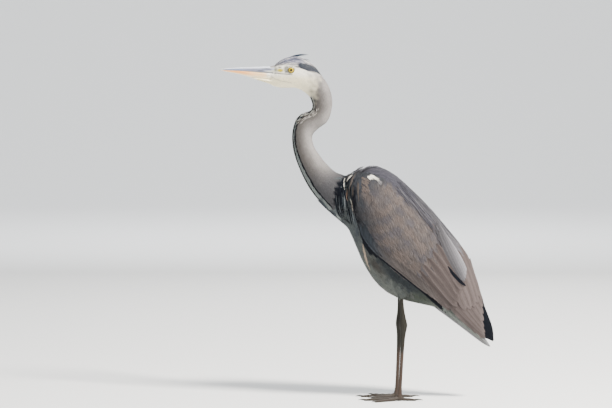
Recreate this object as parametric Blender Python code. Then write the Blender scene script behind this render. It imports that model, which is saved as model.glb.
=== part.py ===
"""A life-size young grey heron, standing still with its neck held in a loose S.

Metres, +Z up. The bird faces -X and its left side looks towards -Y. Every named
part of the body is one closed solid, and neighbours keep a gap of 0.3 mm. While
it is modelled the origin lies on the ground between the feet; at the end the
whole bird moves so that the origin is the middle of its box, at the ground.
"""

import math
from typing import NamedTuple

import bmesh
import bpy
from mathutils import Matrix, Vector

MM = 0.001
GAP = 0.3 * MM
SIDES = {"left": -1.0, "right": 1.0}
UP, AHEAD, SIDEWAYS = Vector((0, 0, 1)), Vector((-1, 0, 0)), Vector((0, 1, 0))

# The trunk has a frame of its own: a line that starts in the chest and runs down
# to the tail. "along" is measured down that line and "over" square to it.
CHEST = Vector((-141.4 * MM, 0.0, 480.8 * MM))
TRUNK_PITCH = math.radians(45.0)
WIDEST_AT = 0.55  # share of a trunk section's depth that lies below its widest line
WING_DEPTH = 15.0 * MM  # of a folded wing, before it is hollowed to fit the trunk
QUILLS_START, QUILLS_END = 338.0, 497.0  # along the trunk's line, in millimetres
TAIL_START, TAIL_END = 345.0, 501.0
MANTLE_START, MANTLE_END = 14.0, 337.4
WING_END_TOP, WING_END_BOTTOM = 330.0, 396.0

EYE_RADIUS = 9.3 * MM
EYE_AT = Vector((-237.0 * MM, 14.4 * MM, 725.4 * MM))
BILL_TIP_X = -393.0 * MM
BILL_BASE_X = -276.0 * MM

LEG_SPREAD = 30.0 * MM
HIP_HEIGHT = 224.0 * MM
THIGH_END_HEIGHT = 222.0 * MM
HEEL_HEIGHT = 167.0 * MM
HEEL_END_HEIGHT = 152.0 * MM
ANKLE_HEIGHT = 12.0 * MM

PLUMAGE_GREY = (0.42, 0.40, 0.40)
NECK_GREY = (0.52, 0.49, 0.48)
WING_BROWN = (0.27, 0.23, 0.21)
BELLY_WHITE = (0.60, 0.60, 0.57)
QUILL_BLACK = (0.02, 0.02, 0.03)
BILL_SLATE = (0.30, 0.33, 0.40)
BILL_HORN = (0.72, 0.48, 0.30)
IRIS_YELLOW = (0.80, 0.55, 0.06)
LEG_BROWN = (0.16, 0.13, 0.11)
CLAW_BLACK = (0.03, 0.025, 0.02)


class Section(NamedTuple):
    """One cross-section of the head or neck, in millimetres: where its throat edge
    and its nape edge lie in the bird's middle plane, and its half width."""

    throat_x: float
    throat_z: float
    nape_x: float
    nape_z: float
    half_width: float


class TrunkSection(NamedTuple):
    """One cross-section of the trunk, in millimetres, in the trunk's frame."""

    along: float
    top: float
    bottom: float
    half_width: float


class WingSection(NamedTuple):
    """Where a folded wing lies on the trunk's section, as angles from the back,
    and how far its face stands out from the trunk there."""

    along: float
    upper_edge: float
    lower_edge: float
    stand_out: float


class Stance(NamedTuple):
    """Where a leg's line lies fore and aft, in millimetres."""

    foot_x: float
    heel_x: float
    hip_x: float


class Toe(NamedTuple):
    """A toe: its lengths in millimetres, the pads under it, and how far it turns
    outwards from straight ahead, in degrees."""

    length: float
    claw: float
    joints: float
    turn: float


STANCES = {"left": Stance(0.7, 9.5, 4.4), "right": Stance(-3.9, 2.9, 2.6)}
TOES = {
    "middle": Toe(78.0, 13.0, 4.0, 2.0),
    "outer": Toe(64.0, 11.0, 4.0, 33.0),
    "inner": Toe(56.0, 12.0, 3.0, -21.0),
    "hind": Toe(36.0, 17.0, 2.0, 172.0),
}

HEAD_AND_NECK = (
    Section(-280.5, 691.7, -280.5, 732.8, 12.5),
    Section(-261.8, 686.4, -261.8, 746.7, 18.0),
    Section(-240.0, 686.5, -239.8, 755.5, 21.5),
    Section(-225.9, 686.0, -217.8, 754.6, 22.5),
    Section(-211.2, 678.7, -189.2, 738.1, 22.0),
    Section(-198.0, 666.6, -170.5, 715.0, 21.0),
    Section(-192.1, 654.5, -152.9, 689.3, 20.0),
    Section(-191.4, 644.6, -145.2, 660.0, 19.5),
    Section(-193.6, 637.8, -147.4, 634.7, 19.5),
    Section(-201.3, 634.4, -156.2, 611.6, 20.0),
    Section(-217.0, 628.8, -174.9, 597.3, 20.5),
    Section(-229.2, 613.8, -187.9, 584.5, 20.5),
    Section(-235.6, 589.6, -189.4, 573.1, 20.5),
    Section(-235.4, 564.1, -185.2, 556.6, 21.0),
    Section(-230.3, 537.9, -173.8, 539.0, 22.5),
    Section(-218.2, 504.9, -158.4, 519.9, 25.0),
    Section(-195.8, 460.9, -139.7, 502.7, 30.0),
    Section(-165.9, 423.9, -122.0, 496.0, 40.0),
    Section(-125.8, 388.1, -103.4, 484.0, 50.0),
)
HEAD_END, NECK_UPPER_END, NECK_MIDDLE_END = 5.3, 10.5, 14.6  # places in the list above

TRUNK = (
    TrunkSection(8, 30, -12, 22),
    TrunkSection(22, 66, -29, 40),
    TrunkSection(45, 84, -43, 52),
    TrunkSection(80, 95, -50, 60),
    TrunkSection(120, 98, -64, 63),
    TrunkSection(170, 99, -84, 64),
    TrunkSection(220, 97, -95, 63),
    TrunkSection(260, 94, -92, 59),
    TrunkSection(300, 89, -75, 52),
    TrunkSection(335, 78, -50, 42),
    TrunkSection(365, 55, -34, 30),
    TrunkSection(390, 24, -28, 19),
)

WING = (
    WingSection(13, 24, 88, 5.0),
    WingSection(30, 23, 102, 8.0),
    WingSection(50, 22, 114, 9.0),
    WingSection(79, 21, 126, 9.5),
    WingSection(109, 19, 133, 10.0),
    WingSection(150, 15, 131, 10.0),
    WingSection(180, 12, 125, 10.0),
    WingSection(230, 9, 121, 10.0),
    WingSection(276, 6, 120, 10.0),
    WingSection(310, 5, 121, 10.0),
    WingSection(345, 6, 123, 12.0),
    WingSection(384, 8, 121, 18.0),
)


# ---------------------------------------------------------------- curves and rings


def eased(knots, rows, at):
    """The row at a place between knots, on a smooth curve through every row."""
    last = len(knots) - 2
    i = max(0, min(last, next((k for k in range(last + 1) if at < knots[k + 1]), last)))

    def slope(k, column):
        """How steeply a column changes at knot k."""
        before, after = max(0, k - 1), min(len(knots) - 1, k + 1)
        return (rows[after][column] - rows[before][column]) / (knots[after] - knots[before])

    step = knots[i + 1] - knots[i]
    u = (at - knots[i]) / step
    start, end = 2 * u**3 - 3 * u**2 + 1, 3 * u**2 - 2 * u**3
    leave, arrive = (u**3 - 2 * u**2 + u) * step, (u**3 - u**2) * step
    return [
        start * rows[i][c] + end * rows[i + 1][c] + leave * slope(i, c) + arrive * slope(i + 1, c)
        for c in range(len(rows[0]))
    ]


def spread(first, last, count):
    """Evenly spaced numbers from first to last."""
    return [first + (last - first) * k / (count - 1) for k in range(count)]


def oval(centre, up_axis, half_depth, half_width, points, grow=0.0, pinch=0.0):
    """A closed loop round a centre, as wide as its half width towards the bird's
    sides. pinch narrows its top and bottom, as a keel does."""
    loop = []
    for k in range(points):
        turn = 2.0 * math.pi * k / points
        rise, reach = math.cos(turn), math.sin(turn)
        width = (half_width + grow) * (1.0 - pinch * rise * rise)
        loop.append(centre + up_axis * ((half_depth + grow) * rise) + SIDEWAYS * (width * reach))
    return loop


# ---------------------------------------------------------------- making objects


def material(name, colour, roughness):
    """A plain material with one colour."""
    found = bpy.data.materials.get(name)
    if found is None:
        found = bpy.data.materials.new(name)
        found.use_nodes = True
        shader = found.node_tree.nodes["Principled BSDF"]
        shader.inputs["Base Color"].default_value = (*colour, 1.0)
        shader.inputs["Roughness"].default_value = roughness
    return found


def add_object(name, builder, finish=None, cutter=False):
    """A smooth-shaded object from a bmesh. A cutter is drawn as wire and isn't part
    of the bird."""
    bmesh.ops.recalc_face_normals(builder, faces=builder.faces)
    mesh = bpy.data.meshes.new(name)
    builder.to_mesh(mesh)
    builder.free()
    mesh.shade_smooth()
    mesh.set_sharp_from_angle(angle=math.radians(50.0))
    made = bpy.data.objects.new(name, mesh)
    bpy.context.scene.collection.objects.link(made)
    if cutter:
        made.hide_render = True
        made.display_type = "WIRE"
    if finish is not None:
        mesh.materials.append(material(*finish))
    return made


def lofted(rings):
    """A bmesh skinned over closed loops of equal length, with flat ends."""
    builder = bmesh.new()
    rows = [[builder.verts.new(point) for point in ring] for ring in rings]
    for row, following in zip(rows, rows[1:]):
        for k, vertex in enumerate(row):
            after = (k + 1) % len(row)
            builder.faces.new((vertex, row[after], following[after], following[k]))
    builder.faces.new(rows[0])
    builder.faces.new(reversed(rows[-1]))
    return builder


def islands(builder):
    """The groups of joined faces in a bmesh, the largest first."""
    left, found = set(builder.faces), []
    while left:
        waiting, group = [left.pop()], []
        while waiting:
            face = waiting.pop()
            group.append(face)
            beside = {other for edge in face.edges for other in edge.link_faces} & left
            left -= beside
            waiting.extend(beside)
        found.append(group)
    return sorted(found, key=len, reverse=True)


def drop_chips(mesh):
    """Removes the chips that a cut leaves beside the piece itself."""
    builder = bmesh.new()
    builder.from_mesh(mesh)
    chips = [face for group in islands(builder)[1:] for face in group]
    bmesh.ops.delete(builder, geom=chips, context="FACES")
    builder.to_mesh(mesh)
    builder.free()


def applied_boolean(target, operation, others):
    """Applies one Boolean after another, and removes what each one used."""
    for other in others:
        step = target.modifiers.new(operation, "BOOLEAN")
        step.operation = operation
        step.solver = "EXACT"
        step.object = other
        graph = bpy.context.evaluated_depsgraph_get()
        cut = bpy.data.meshes.new_from_object(target.evaluated_get(graph))
        target.modifiers.clear()
        finish = list(target.data.materials)
        target.data = cut
        cut.materials.clear()
        for entry in finish[:1]:
            cut.materials.append(entry)
    drop_chips(target.data)
    for other in others:
        bpy.data.objects.remove(other)
    return target


# ---------------------------------------------------------------- head and neck


def path_knots():
    """How far along the head and neck each section lies, in millimetres."""
    knots = [0.0]
    for here, ahead in zip(HEAD_AND_NECK, HEAD_AND_NECK[1:]):
        step_x = 0.5 * (ahead.throat_x + ahead.nape_x - here.throat_x - here.nape_x)
        step_z = 0.5 * (ahead.throat_z + ahead.nape_z - here.throat_z - here.nape_z)
        knots.append(knots[-1] + math.hypot(step_x, step_z))
    return knots


def place_on_path(number):
    """The distance along the path of a place between two sections."""
    knots = path_knots()
    whole = min(int(number), len(knots) - 2)
    return knots[whole] + (number - whole) * (knots[whole + 1] - knots[whole])


def path_ring(at, points, grow=0.0, shift=0.0):
    """The cross-section of the head and neck at a distance along their path, moved
    square to itself by a shift."""
    here = Section(*eased(path_knots(), HEAD_AND_NECK, at))
    throat = Vector((here.throat_x, 0.0, here.throat_z)) * MM
    nape = Vector((here.nape_x, 0.0, here.nape_z)) * MM
    half_depth = 0.5 * (nape - throat).length
    up_axis = (nape - throat).normalized()
    forward = Vector((up_axis.z, 0.0, -up_axis.x))
    pinch = 0.12 * max(0.0, 1.0 - at / place_on_path(HEAD_END))
    centre = 0.5 * (throat + nape) + forward * shift
    return oval(centre, up_axis, half_depth, here.half_width * MM, points, grow, pinch)


def path_piece(first, last, rings, points, grow=0.0):
    """A bmesh of the head and neck between two places, short of each by half a gap."""
    margin = 0.5 * GAP - grow
    loops = [path_ring(at, points, grow) for at in spread(first, last, rings)]
    loops[0] = path_ring(first, points, grow, margin)
    loops[-1] = path_ring(last, points, grow, -margin)
    return lofted(loops)


def head_cutter(grow):
    """The head grown by a clearance, for cutting what touches it."""
    end = place_on_path(HEAD_END)
    return add_object("head_cutter", path_piece(0.0, end, 12, 20, grow), cutter=True)


def ball(centre, radius):
    """A bmesh ball whose poles look sideways."""
    builder = bmesh.new()
    turned = Matrix.Translation(centre) @ Matrix.Rotation(math.pi / 2, 4, "X")
    bmesh.ops.create_uvsphere(builder, u_segments=14, v_segments=8, radius=radius, matrix=turned)
    return builder


def eye_centre(side):
    """The middle of one eyeball."""
    return Vector((EYE_AT.x, EYE_AT.y * SIDES[side], EYE_AT.z))


def bill_ring(x, top, bottom, half_width, points, grow=0.0):
    """A cross-section of the bill, standing upright at a place along it."""
    middle = Vector((x, 0.0, 0.5 * (top + bottom)))
    half = 0.5 * (top - bottom)
    return oval(middle, UP, half, half_width, points, grow)


def bill_lines(share):
    """Heights of the ridge, the gape and the keel, and the half width, from the tip
    of the bill (0) to its base (1)."""
    ridge = (726.0 + 7.8 * share**0.42) * MM
    gape = (725.3 - 2.5 * share - 5.0 * share**2.2) * MM
    keel = (724.9 - 21.0 * share - 9.0 * share**2 + 22.0 * max(0.0, share - 0.6)) * MM
    half_width = (0.8 + 3.6 * share**0.75 + 4.6 * share**1.6) * MM
    return ridge, gape, keel, half_width


def build_bill():
    """The two mandibles, which meet along the gape."""
    length, points = BILL_BASE_X - BILL_TIP_X, 10
    overbite = 0.015
    upper, lower = [], []
    for share in spread(0.0, 1.0, 10):
        ridge, gape, _, half_width = bill_lines(share)
        x = BILL_TIP_X + length * share
        upper.append(bill_ring(x, ridge, gape + 0.5 * GAP, half_width, points))
        share = overbite + (1.0 - overbite) * share
        _, gape, keel, half_width = bill_lines(share)
        x = BILL_TIP_X + length * share
        lower.append(bill_ring(x, gape - 0.5 * GAP, keel, 0.94 * half_width, points))
    halves = (
        ("bill_upper", upper, ("bill_slate", BILL_SLATE, 0.35)),
        ("bill_lower", lower, ("bill_horn", BILL_HORN, 0.35)),
    )
    for name, rings, finish in halves:
        mandible = add_object(name, lofted(rings), finish)
        applied_boolean(mandible, "DIFFERENCE", [head_cutter(GAP), chin(GAP)])


def chin(grow=0.0):
    """The wedge of feathered skin that runs forward between the lower jaw's sides."""
    front, back = BILL_BASE_X - 54.0 * MM, BILL_BASE_X + 5.0 * MM
    rings = []
    for share in spread(0.0, 1.0, 6):
        x = front + (back - front) * share
        _, _, keel, _ = bill_lines(min(1.0, (x - BILL_TIP_X) / (BILL_BASE_X - BILL_TIP_X)))
        top = keel + 2.0 * share * MM
        bottom = keel - (1.4 + 11.6 * share**1.1) * MM
        rings.append(bill_ring(x, top, bottom, (1.6 + 11.0 * share) * MM, 12, grow))
    return add_object("chin", lofted(rings), cutter=True)


def build_head():
    """The cranium with its chin, and a socket for each eye."""
    end = place_on_path(HEAD_END)
    head = add_object("head", path_piece(0.0, end, 12, 20), ("face", NECK_GREY, 0.8))
    applied_boolean(head, "UNION", [chin()])
    sockets = [
        add_object("socket", ball(eye_centre(side), EYE_RADIUS + GAP), cutter=True)
        for side in SIDES
    ]
    applied_boolean(head, "DIFFERENCE", sockets)


def build_eyes():
    """Both eyeballs."""
    for side in SIDES:
        add_object(f"eye_{side}", ball(eye_centre(side), EYE_RADIUS), ("iris", IRIS_YELLOW, 0.1))


def build_crest():
    """The single plume that has lifted from the crown."""
    root, length = Vector((-240.0, 0.0, 753.5)) * MM, 44.0 * MM
    rise, bow = 6.8 * MM, 0.75 * math.pi
    rings = []
    for share in spread(0.0, 1.0, 8):
        middle = root + Vector((length * share, 0.0, rise * math.sin(bow * share)))
        half_width = (0.6 + 2.2 * math.sin(math.pi * min(1.0, 0.25 + 0.72 * share))) * MM
        rings.append(oval(middle, UP, 0.8 * MM, half_width, 6))
    crest = add_object("crest", lofted(rings), ("crest_black", QUILL_BLACK, 0.6))
    applied_boolean(crest, "DIFFERENCE", [head_cutter(GAP)])


def build_neck():
    """Three lengths of neck. The lowest one is cut to sit on the trunk."""
    places = [place_on_path(n) for n in (HEAD_END, NECK_UPPER_END, NECK_MIDDLE_END)]
    finish = ("neck_grey", NECK_GREY, 0.85)
    add_object("neck_upper", path_piece(places[0], places[1], 12, 20), finish)
    add_object("neck_middle", path_piece(places[1], places[2], 10, 20), finish)
    end = place_on_path(len(HEAD_AND_NECK) - 1)
    lower = add_object("neck_lower", path_piece(places[2], end, 9, 20), finish)
    wings = [wing_solid(side, "wing_cutter", GAP) for side in SIDES]
    applied_boolean(lower, "DIFFERENCE", [trunk_cutter(GAP), *wings])


# ---------------------------------------------------------------- trunk, wings, tail


def in_trunk_frame(along, side, over):
    """A point from the trunk's frame, given in metres, in the bird's frame."""
    down_the_back = Vector((math.cos(TRUNK_PITCH), 0.0, -math.sin(TRUNK_PITCH)))
    square_to_it = Vector((math.sin(TRUNK_PITCH), 0.0, math.cos(TRUNK_PITCH)))
    return CHEST + down_the_back * along + square_to_it * over + Vector((0.0, side, 0.0))


def trunk_section(along):
    """The trunk's section at a distance along it, in millimetres."""
    return TrunkSection(*eased([row.along for row in TRUNK], TRUNK, along))


def trunk_outline(along, angle, stand_out=0.0):
    """A point on the trunk's skin, or that far outside it, by its distance along the
    trunk and its angle from the back, as (side, over) in metres."""
    here = trunk_section(along)
    middle = here.bottom + WIDEST_AT * (here.top - here.bottom)
    rise, reach = math.cos(angle), math.sin(angle)
    height = (here.top - middle if rise > 0 else middle - here.bottom) * MM + stand_out
    keel = 0.16 * max(0.0, -rise) ** 2
    width = (here.half_width * MM + stand_out) * (1.0 - keel)
    return width * reach, middle * MM + height * rise


def pushed_ends(rings, grow):
    """The same loops with the first and last moved outwards along the trunk's line."""
    down_the_back = in_trunk_frame(1.0, 0.0, 0.0) - in_trunk_frame(0.0, 0.0, 0.0)
    first = [point - down_the_back * grow for point in rings[0]]
    last = [point + down_the_back * grow for point in rings[-1]]
    return [first, *rings[1:-1], last]


def trunk_mesh(grow=0.0):
    """A bmesh of the trunk."""
    first, last = TRUNK[0].along, TRUNK[-1].along
    rings = []
    for along in spread(first, last, 18):
        ring = []
        for k in range(22):
            side, over = trunk_outline(along, 2.0 * math.pi * k / 22, grow)
            ring.append(in_trunk_frame(along * MM, side, over))
        rings.append(ring)
    return lofted(pushed_ends(rings, grow))


def trunk_cutter(grow):
    """The trunk grown by a clearance."""
    return add_object("trunk_cutter", trunk_mesh(grow), cutter=True)


def shell_ring(along, side, upper, lower, outer, inner):
    """A closed loop round a slice of folded wing: over its outer face from the upper
    edge to the lower one, and back along the inside."""
    angles = spread(math.radians(upper), math.radians(lower), 9)
    loop = []
    for stand_out, order in ((outer, angles), (inner, angles[::-1])):
        for angle in order:
            reach, over = trunk_outline(along, angle, stand_out)
            loop.append(in_trunk_frame(along * MM, SIDES[side] * reach, over))
    return loop


def wing_mesh(side, grow=0.0):
    """A bmesh of a folded wing: coverts and secondaries, before the trunk is cut
    away from its inside."""
    knots = [row.along for row in WING]
    wider = math.degrees(grow / (25.0 * MM))
    rings = []
    for along in spread(knots[0], knots[-1], 19):
        here = WingSection(*eased(knots, WING, along))
        outer = here.stand_out * MM
        upper, lower = here.upper_edge - wider, here.lower_edge + wider
        inner = outer - WING_DEPTH - grow
        rings.append(shell_ring(along, side, upper, lower, outer + grow, inner))
    return lofted(pushed_ends(rings, grow))


def mantle_mesh():
    """A bmesh of the feathered back between the folded wings."""
    rings = []
    clear = math.degrees(2.0 * GAP / (60.0 * MM))
    for along in spread(MANTLE_START, MANTLE_END, 14):
        here = WingSection(*eased([row.along for row in WING], WING, along))
        half = here.upper_edge - clear
        angles = [math.radians(angle) for angle in spread(-half, half, 5)]
        loop = []
        for stand_out, order in ((here.stand_out * MM, angles), (-5.0 * MM, angles[::-1])):
            for angle in order:
                reach, over = trunk_outline(along, angle, stand_out)
                loop.append(in_trunk_frame(along * MM, reach, over))
        rings.append(loop)
    return lofted(rings)


def build_trunk():
    """The body without its wings, and the mantle that lies on it."""
    add_object("trunk", trunk_mesh(), ("belly", BELLY_WHITE, 0.85))
    mantle = add_object("mantle", mantle_mesh(), ("mantle", PLUMAGE_GREY, 0.75))
    wings = [wing_solid(side, "wing_cutter", GAP) for side in SIDES]
    applied_boolean(mantle, "DIFFERENCE", [trunk_cutter(GAP), *wings])


def add_twin(left, name):
    """The same shape on the bird's right side, as an object of its own."""
    mesh = left.data.copy()
    mesh.transform(Matrix.Scale(-1.0, 4, (0.0, 1.0, 0.0)))
    mesh.flip_normals()
    twin = bpy.data.objects.new(name, mesh)
    bpy.context.scene.collection.objects.link(twin)
    return twin


def behind_wings(grow):
    """A block that holds all that lies behind the slanting ends of the wings."""
    top, bottom, reach = 120.0 * MM, -60.0 * MM, 100.0 * MM
    outline = (
        (WING_END_TOP * MM + grow, top),
        (WING_END_BOTTOM * MM + grow, bottom),
        (500.0 * MM, bottom),
        (500.0 * MM, top),
    )
    rings = [[in_trunk_frame(a, side, over) for a, over in outline] for side in (-reach, reach)]
    return add_object("end_cutter", lofted(rings), cutter=True)


def wing_solid(side, name, grow=0.0, finish=None):
    """A folded wing or, with no finish, a cutter of its shape grown by a clearance."""
    wing = add_object(name, wing_mesh(side, grow), finish, cutter=finish is None)
    return applied_boolean(wing, "DIFFERENCE", [behind_wings(grow)])


def build_wings():
    """The folded wings, hollowed to sit on the trunk."""
    left = wing_solid("left", "wing_left", finish=("wing_brown", WING_BROWN, 0.75))
    applied_boolean(left, "DIFFERENCE", [trunk_cutter(GAP)])
    add_twin(left, "wing_right")


def quill_ring(share, inset):
    """Half of a roof-shaped arch, from its ridge to its hem, as (side, over) pairs in
    metres, at a share of the way down the quills."""
    ridge = 88.0 - 78.0 * share - 2.5 * math.sin(math.pi * share) - 9.0 * share**16
    hem = -13.0 + 2.0 * share + 6.0 * share**6
    reach = 45.0 - 27.0 * share - 9.0 * share**5 - inset
    last = math.radians(97.0)
    arch = []
    for angle in spread(math.radians(5.0 + 7.0 * share), last, 7):
        fall = (ridge - inset - hem) * (1.0 - math.cos(angle)) / (1.0 - math.cos(last))
        arch.append((reach * math.sin(angle) * MM, (ridge - inset - fall) * MM))
    return arch


def quills_mesh(side):
    """A bmesh of a wing's long quills, which close over the tail like one half of a
    roof."""
    rings = []
    for share in spread(0.0, 1.0, 11):
        along = (QUILLS_START + (QUILLS_END - QUILLS_START) * share) * MM
        loop = quill_ring(share, 0.0) + quill_ring(share, 5.0 - 1.5 * share)[::-1]
        rings.append(
            [in_trunk_frame(along, SIDES[side] * max(0.6 * MM, out), over) for out, over in loop]
        )
    return lofted(rings)


def tail_mesh(grow=0.0):
    """A bmesh of the closed tail: a shallow fan of stiff feathers."""
    over_axis = in_trunk_frame(0.0, 0.0, 1.0) - in_trunk_frame(0.0, 0.0, 0.0)
    rings = []
    for share in spread(0.0, 1.0, 9):
        along = (TAIL_START + (TAIL_END - TAIL_START) * share) * MM - grow * (1.0 - 2.0 * share)
        centre = in_trunk_frame(along, 0.0, (-24.0 + 9.0 * share) * MM)
        half_depth = (14.0 * (1.0 - share) ** 1.2 + 3.5 - 1.5 * share**6) * MM
        half_width = (21.0 + 5.0 * share - 14.0 * share**9) * MM
        rings.append(oval(centre, over_axis, half_depth, half_width, 16, grow))
    return lofted(rings)


def build_tail():
    """The tail, cut to sit on the trunk."""
    tail = add_object("tail", tail_mesh(), ("tail_grey", PLUMAGE_GREY, 0.75))
    applied_boolean(tail, "DIFFERENCE", [trunk_cutter(GAP)])


def build_quills():
    """The quills of each wing, cut by all that they lie on and slide under."""
    left = add_object("quills_left", quills_mesh("left"), ("quill", QUILL_BLACK, 0.6))
    cutters = [
        trunk_cutter(GAP),
        wing_solid("left", "wing_cutter", 1.5 * GAP),
        add_object("tail_cutter", tail_mesh(GAP), cutter=True),
    ]
    applied_boolean(left, "DIFFERENCE", cutters)
    add_twin(left, "quills_right")


# ---------------------------------------------------------------- legs


def tube(stations, points):
    """A bmesh along a line, from (centre, half depth, half width) triples, with level
    cross-sections."""
    return lofted([oval(centre, AHEAD, deep, wide, points) for centre, deep, wide in stations])


def leg_point(side, height):
    """Where a leg's bone line is at a height above the ground, in metres."""
    stance = STANCES[side]
    if height >= HEEL_HEIGHT:
        share = (height - HEEL_HEIGHT) / (HIP_HEIGHT - HEEL_HEIGHT)
        x = stance.heel_x + (stance.hip_x - stance.heel_x) * share
    else:
        x = stance.foot_x + (stance.heel_x - stance.foot_x) * height / HEEL_HEIGHT
    return Vector((x * MM, SIDES[side] * LEG_SPREAD, height))


def leg_stations(side, rows):
    """Stations for a tube, from rows of height, half depth and half width in mm."""
    return [(leg_point(side, z * MM), deep * MM, wide * MM) for z, deep, wide in rows]


def build_thigh(side):
    """The feathered top of the leg, cut to sit on the trunk."""
    rows = (
        (282.0, 30.0, 20.0),
        (268.0, 27.0, 19.0),
        (254.0, 22.0, 16.0),
        (241.0, 16.0, 12.5),
        (230.0, 11.0, 9.5),
        (THIGH_END_HEIGHT / MM, 7.2, 6.8),
    )
    thigh = add_object(
        f"thigh_{side}", tube(leg_stations(side, rows), 12), ("belly", BELLY_WHITE, 0.85)
    )
    applied_boolean(thigh, "DIFFERENCE", [trunk_cutter(GAP)])


def build_shank(side):
    """The bare end of the tibia, with the heel joint."""
    top = (THIGH_END_HEIGHT - GAP) / MM
    rows = (
        (top, 4.4, 3.9),
        (200.0, 4.8, 4.1),
        (184.0, 6.3, 4.9),
        (174.0, 8.0, 6.0),
        (166.0, 8.6, 6.7),
        (158.0, 7.8, 6.2),
        (HEEL_END_HEIGHT / MM, 6.6, 5.2),
    )
    add_object(f"shank_{side}", tube(leg_stations(side, rows), 10), ("leg", LEG_BROWN, 0.6))


def build_tarsus(side):
    """The long scaly bone between the heel joint and the toes."""
    rows = (
        ((HEEL_END_HEIGHT - GAP) / MM, 6.4, 5.0),
        (138.0, 5.2, 4.1),
        (112.0, 4.3, 3.5),
        (70.0, 3.9, 3.3),
        (34.0, 4.0, 3.5),
        (20.0, 4.7, 4.2),
        ((ANKLE_HEIGHT + GAP) / MM, 5.6, 5.2),
    )
    add_object(f"tarsus_{side}", tube(leg_stations(side, rows), 10), ("leg", LEG_BROWN, 0.6))


def toe_ring(centre, heading, half_depth, half_width, points):
    """A toe's cross-section with its underside flattened on the ground."""
    turn = Matrix.Rotation(math.atan2(-heading.y, -heading.x), 3, "Z")
    loop = []
    for point in oval(Vector(), UP, half_depth, half_width, points):
        point = centre + turn @ point
        loop.append(Vector((point.x, point.y, max(0.0, point.z))))
    return loop


def toe_heading(side, toe):
    """The level direction in which a toe points."""
    turn = math.radians(toe.turn)
    return Vector((-math.cos(turn), SIDES[side] * math.sin(turn), 0.0))


def toe_mesh(side, toe, root):
    """A bmesh of one toe, with a pad under each joint."""
    heading = toe_heading(side, toe)
    rings = []
    for share in spread(0.0, 1.0, 7):
        pad = 0.35 * math.sin(math.pi * (0.25 + toe.joints * share)) ** 2
        half = (3.9 - 1.5 * share + pad) * MM
        rise = 3.2 * MM * (1.0 - share) ** 3
        centre = root + heading * (toe.length * MM * share)
        centre.z = 0.86 * half + rise * max(0.0, 1.0 - 2.0 * share)
        rings.append(toe_ring(centre, heading, half, 1.05 * half, 8))
    return lofted(rings)


def claw_mesh(side, toe, root):
    """A bmesh of the curved claw at the end of a toe."""
    heading = toe_heading(side, toe)
    rings = []
    for share in spread(0.0, 1.0, 5):
        centre = root + heading * ((toe.length + GAP / MM + toe.claw * share) * MM)
        half = (2.0 * (1.0 - share) ** 0.8 + 0.35) * MM
        centre.z = (2.4 + 1.5 * math.sin(2.3 * share) - 1.6 * share**2) * MM
        rings.append(toe_ring(centre, heading, half, 0.72 * half, 6))
    return lofted(rings)


def build_foot(side):
    """Four toes that meet under the ankle, and their claws."""
    root = leg_point(side, 0.0)
    rows = ((ANKLE_HEIGHT / MM, 5.6, 5.2), (8.5, 6.6, 6.2), (4.0, 7.2, 6.8), (0.0, 5.8, 5.4))
    stations = [(root + UP * (z * MM), deep * MM, wide * MM) for z, deep, wide in rows]
    hub = add_object(f"foot_{side}", tube(stations, 10), ("foot", LEG_BROWN, 0.65))
    toes = []
    for name, toe in TOES.items():
        toes.append(add_object(f"toe_{name}", toe_mesh(side, toe, root), cutter=True))
        claw = claw_mesh(side, toe, root)
        add_object(f"claw_{side}_{name}", claw, ("claw", CLAW_BLACK, 0.35))
    applied_boolean(hub, "UNION", toes)


# ---------------------------------------------------------------- the whole bird


def clear_scene():
    """Starts from an empty scene."""
    for existing in list(bpy.data.objects):
        bpy.data.objects.remove(existing)


def stand_on_origin():
    """Hangs every part from one empty, moved so that the origin is the middle of the
    bird's box at the ground."""
    parts = [made for made in bpy.data.objects if made.type == "MESH"]
    points = [vertex.co for made in parts for vertex in made.data.vertices]
    low = [min(point[k] for point in points) for k in range(3)]
    high = [max(point[k] for point in points) for k in range(3)]
    heron = bpy.data.objects.new("heron", None)
    bpy.context.scene.collection.objects.link(heron)
    heron.location = (-0.5 * (low[0] + high[0]), -0.5 * (low[1] + high[1]), -low[2])
    for made in parts:
        made.parent = heron


def main():
    """Builds the bird part by part."""
    clear_scene()
    build_head()
    build_eyes()
    build_bill()
    build_crest()
    build_neck()
    build_trunk()
    build_wings()
    build_tail()
    build_quills()
    for side in SIDES:
        build_thigh(side)
        build_shank(side)
        build_tarsus(side)
        build_foot(side)
    stand_on_origin()


main()
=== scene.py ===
"""Dresses the standing young grey heron: one skin, its plumage, bill, eyes and legs.

Metres, +Z up. The bird faces -X and its left side looks towards -Y. The solids of
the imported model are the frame: the skin is grown from them and drawn in by the
depth of the coat, and every feather is a thin closed vane laid down on that skin.
"""

import logging
import math
from collections.abc import Callable
from dataclasses import dataclass
from enum import Enum

import bmesh
import bpy
import numpy as np
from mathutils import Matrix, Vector
from mathutils.bvhtree import BVHTree


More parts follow.
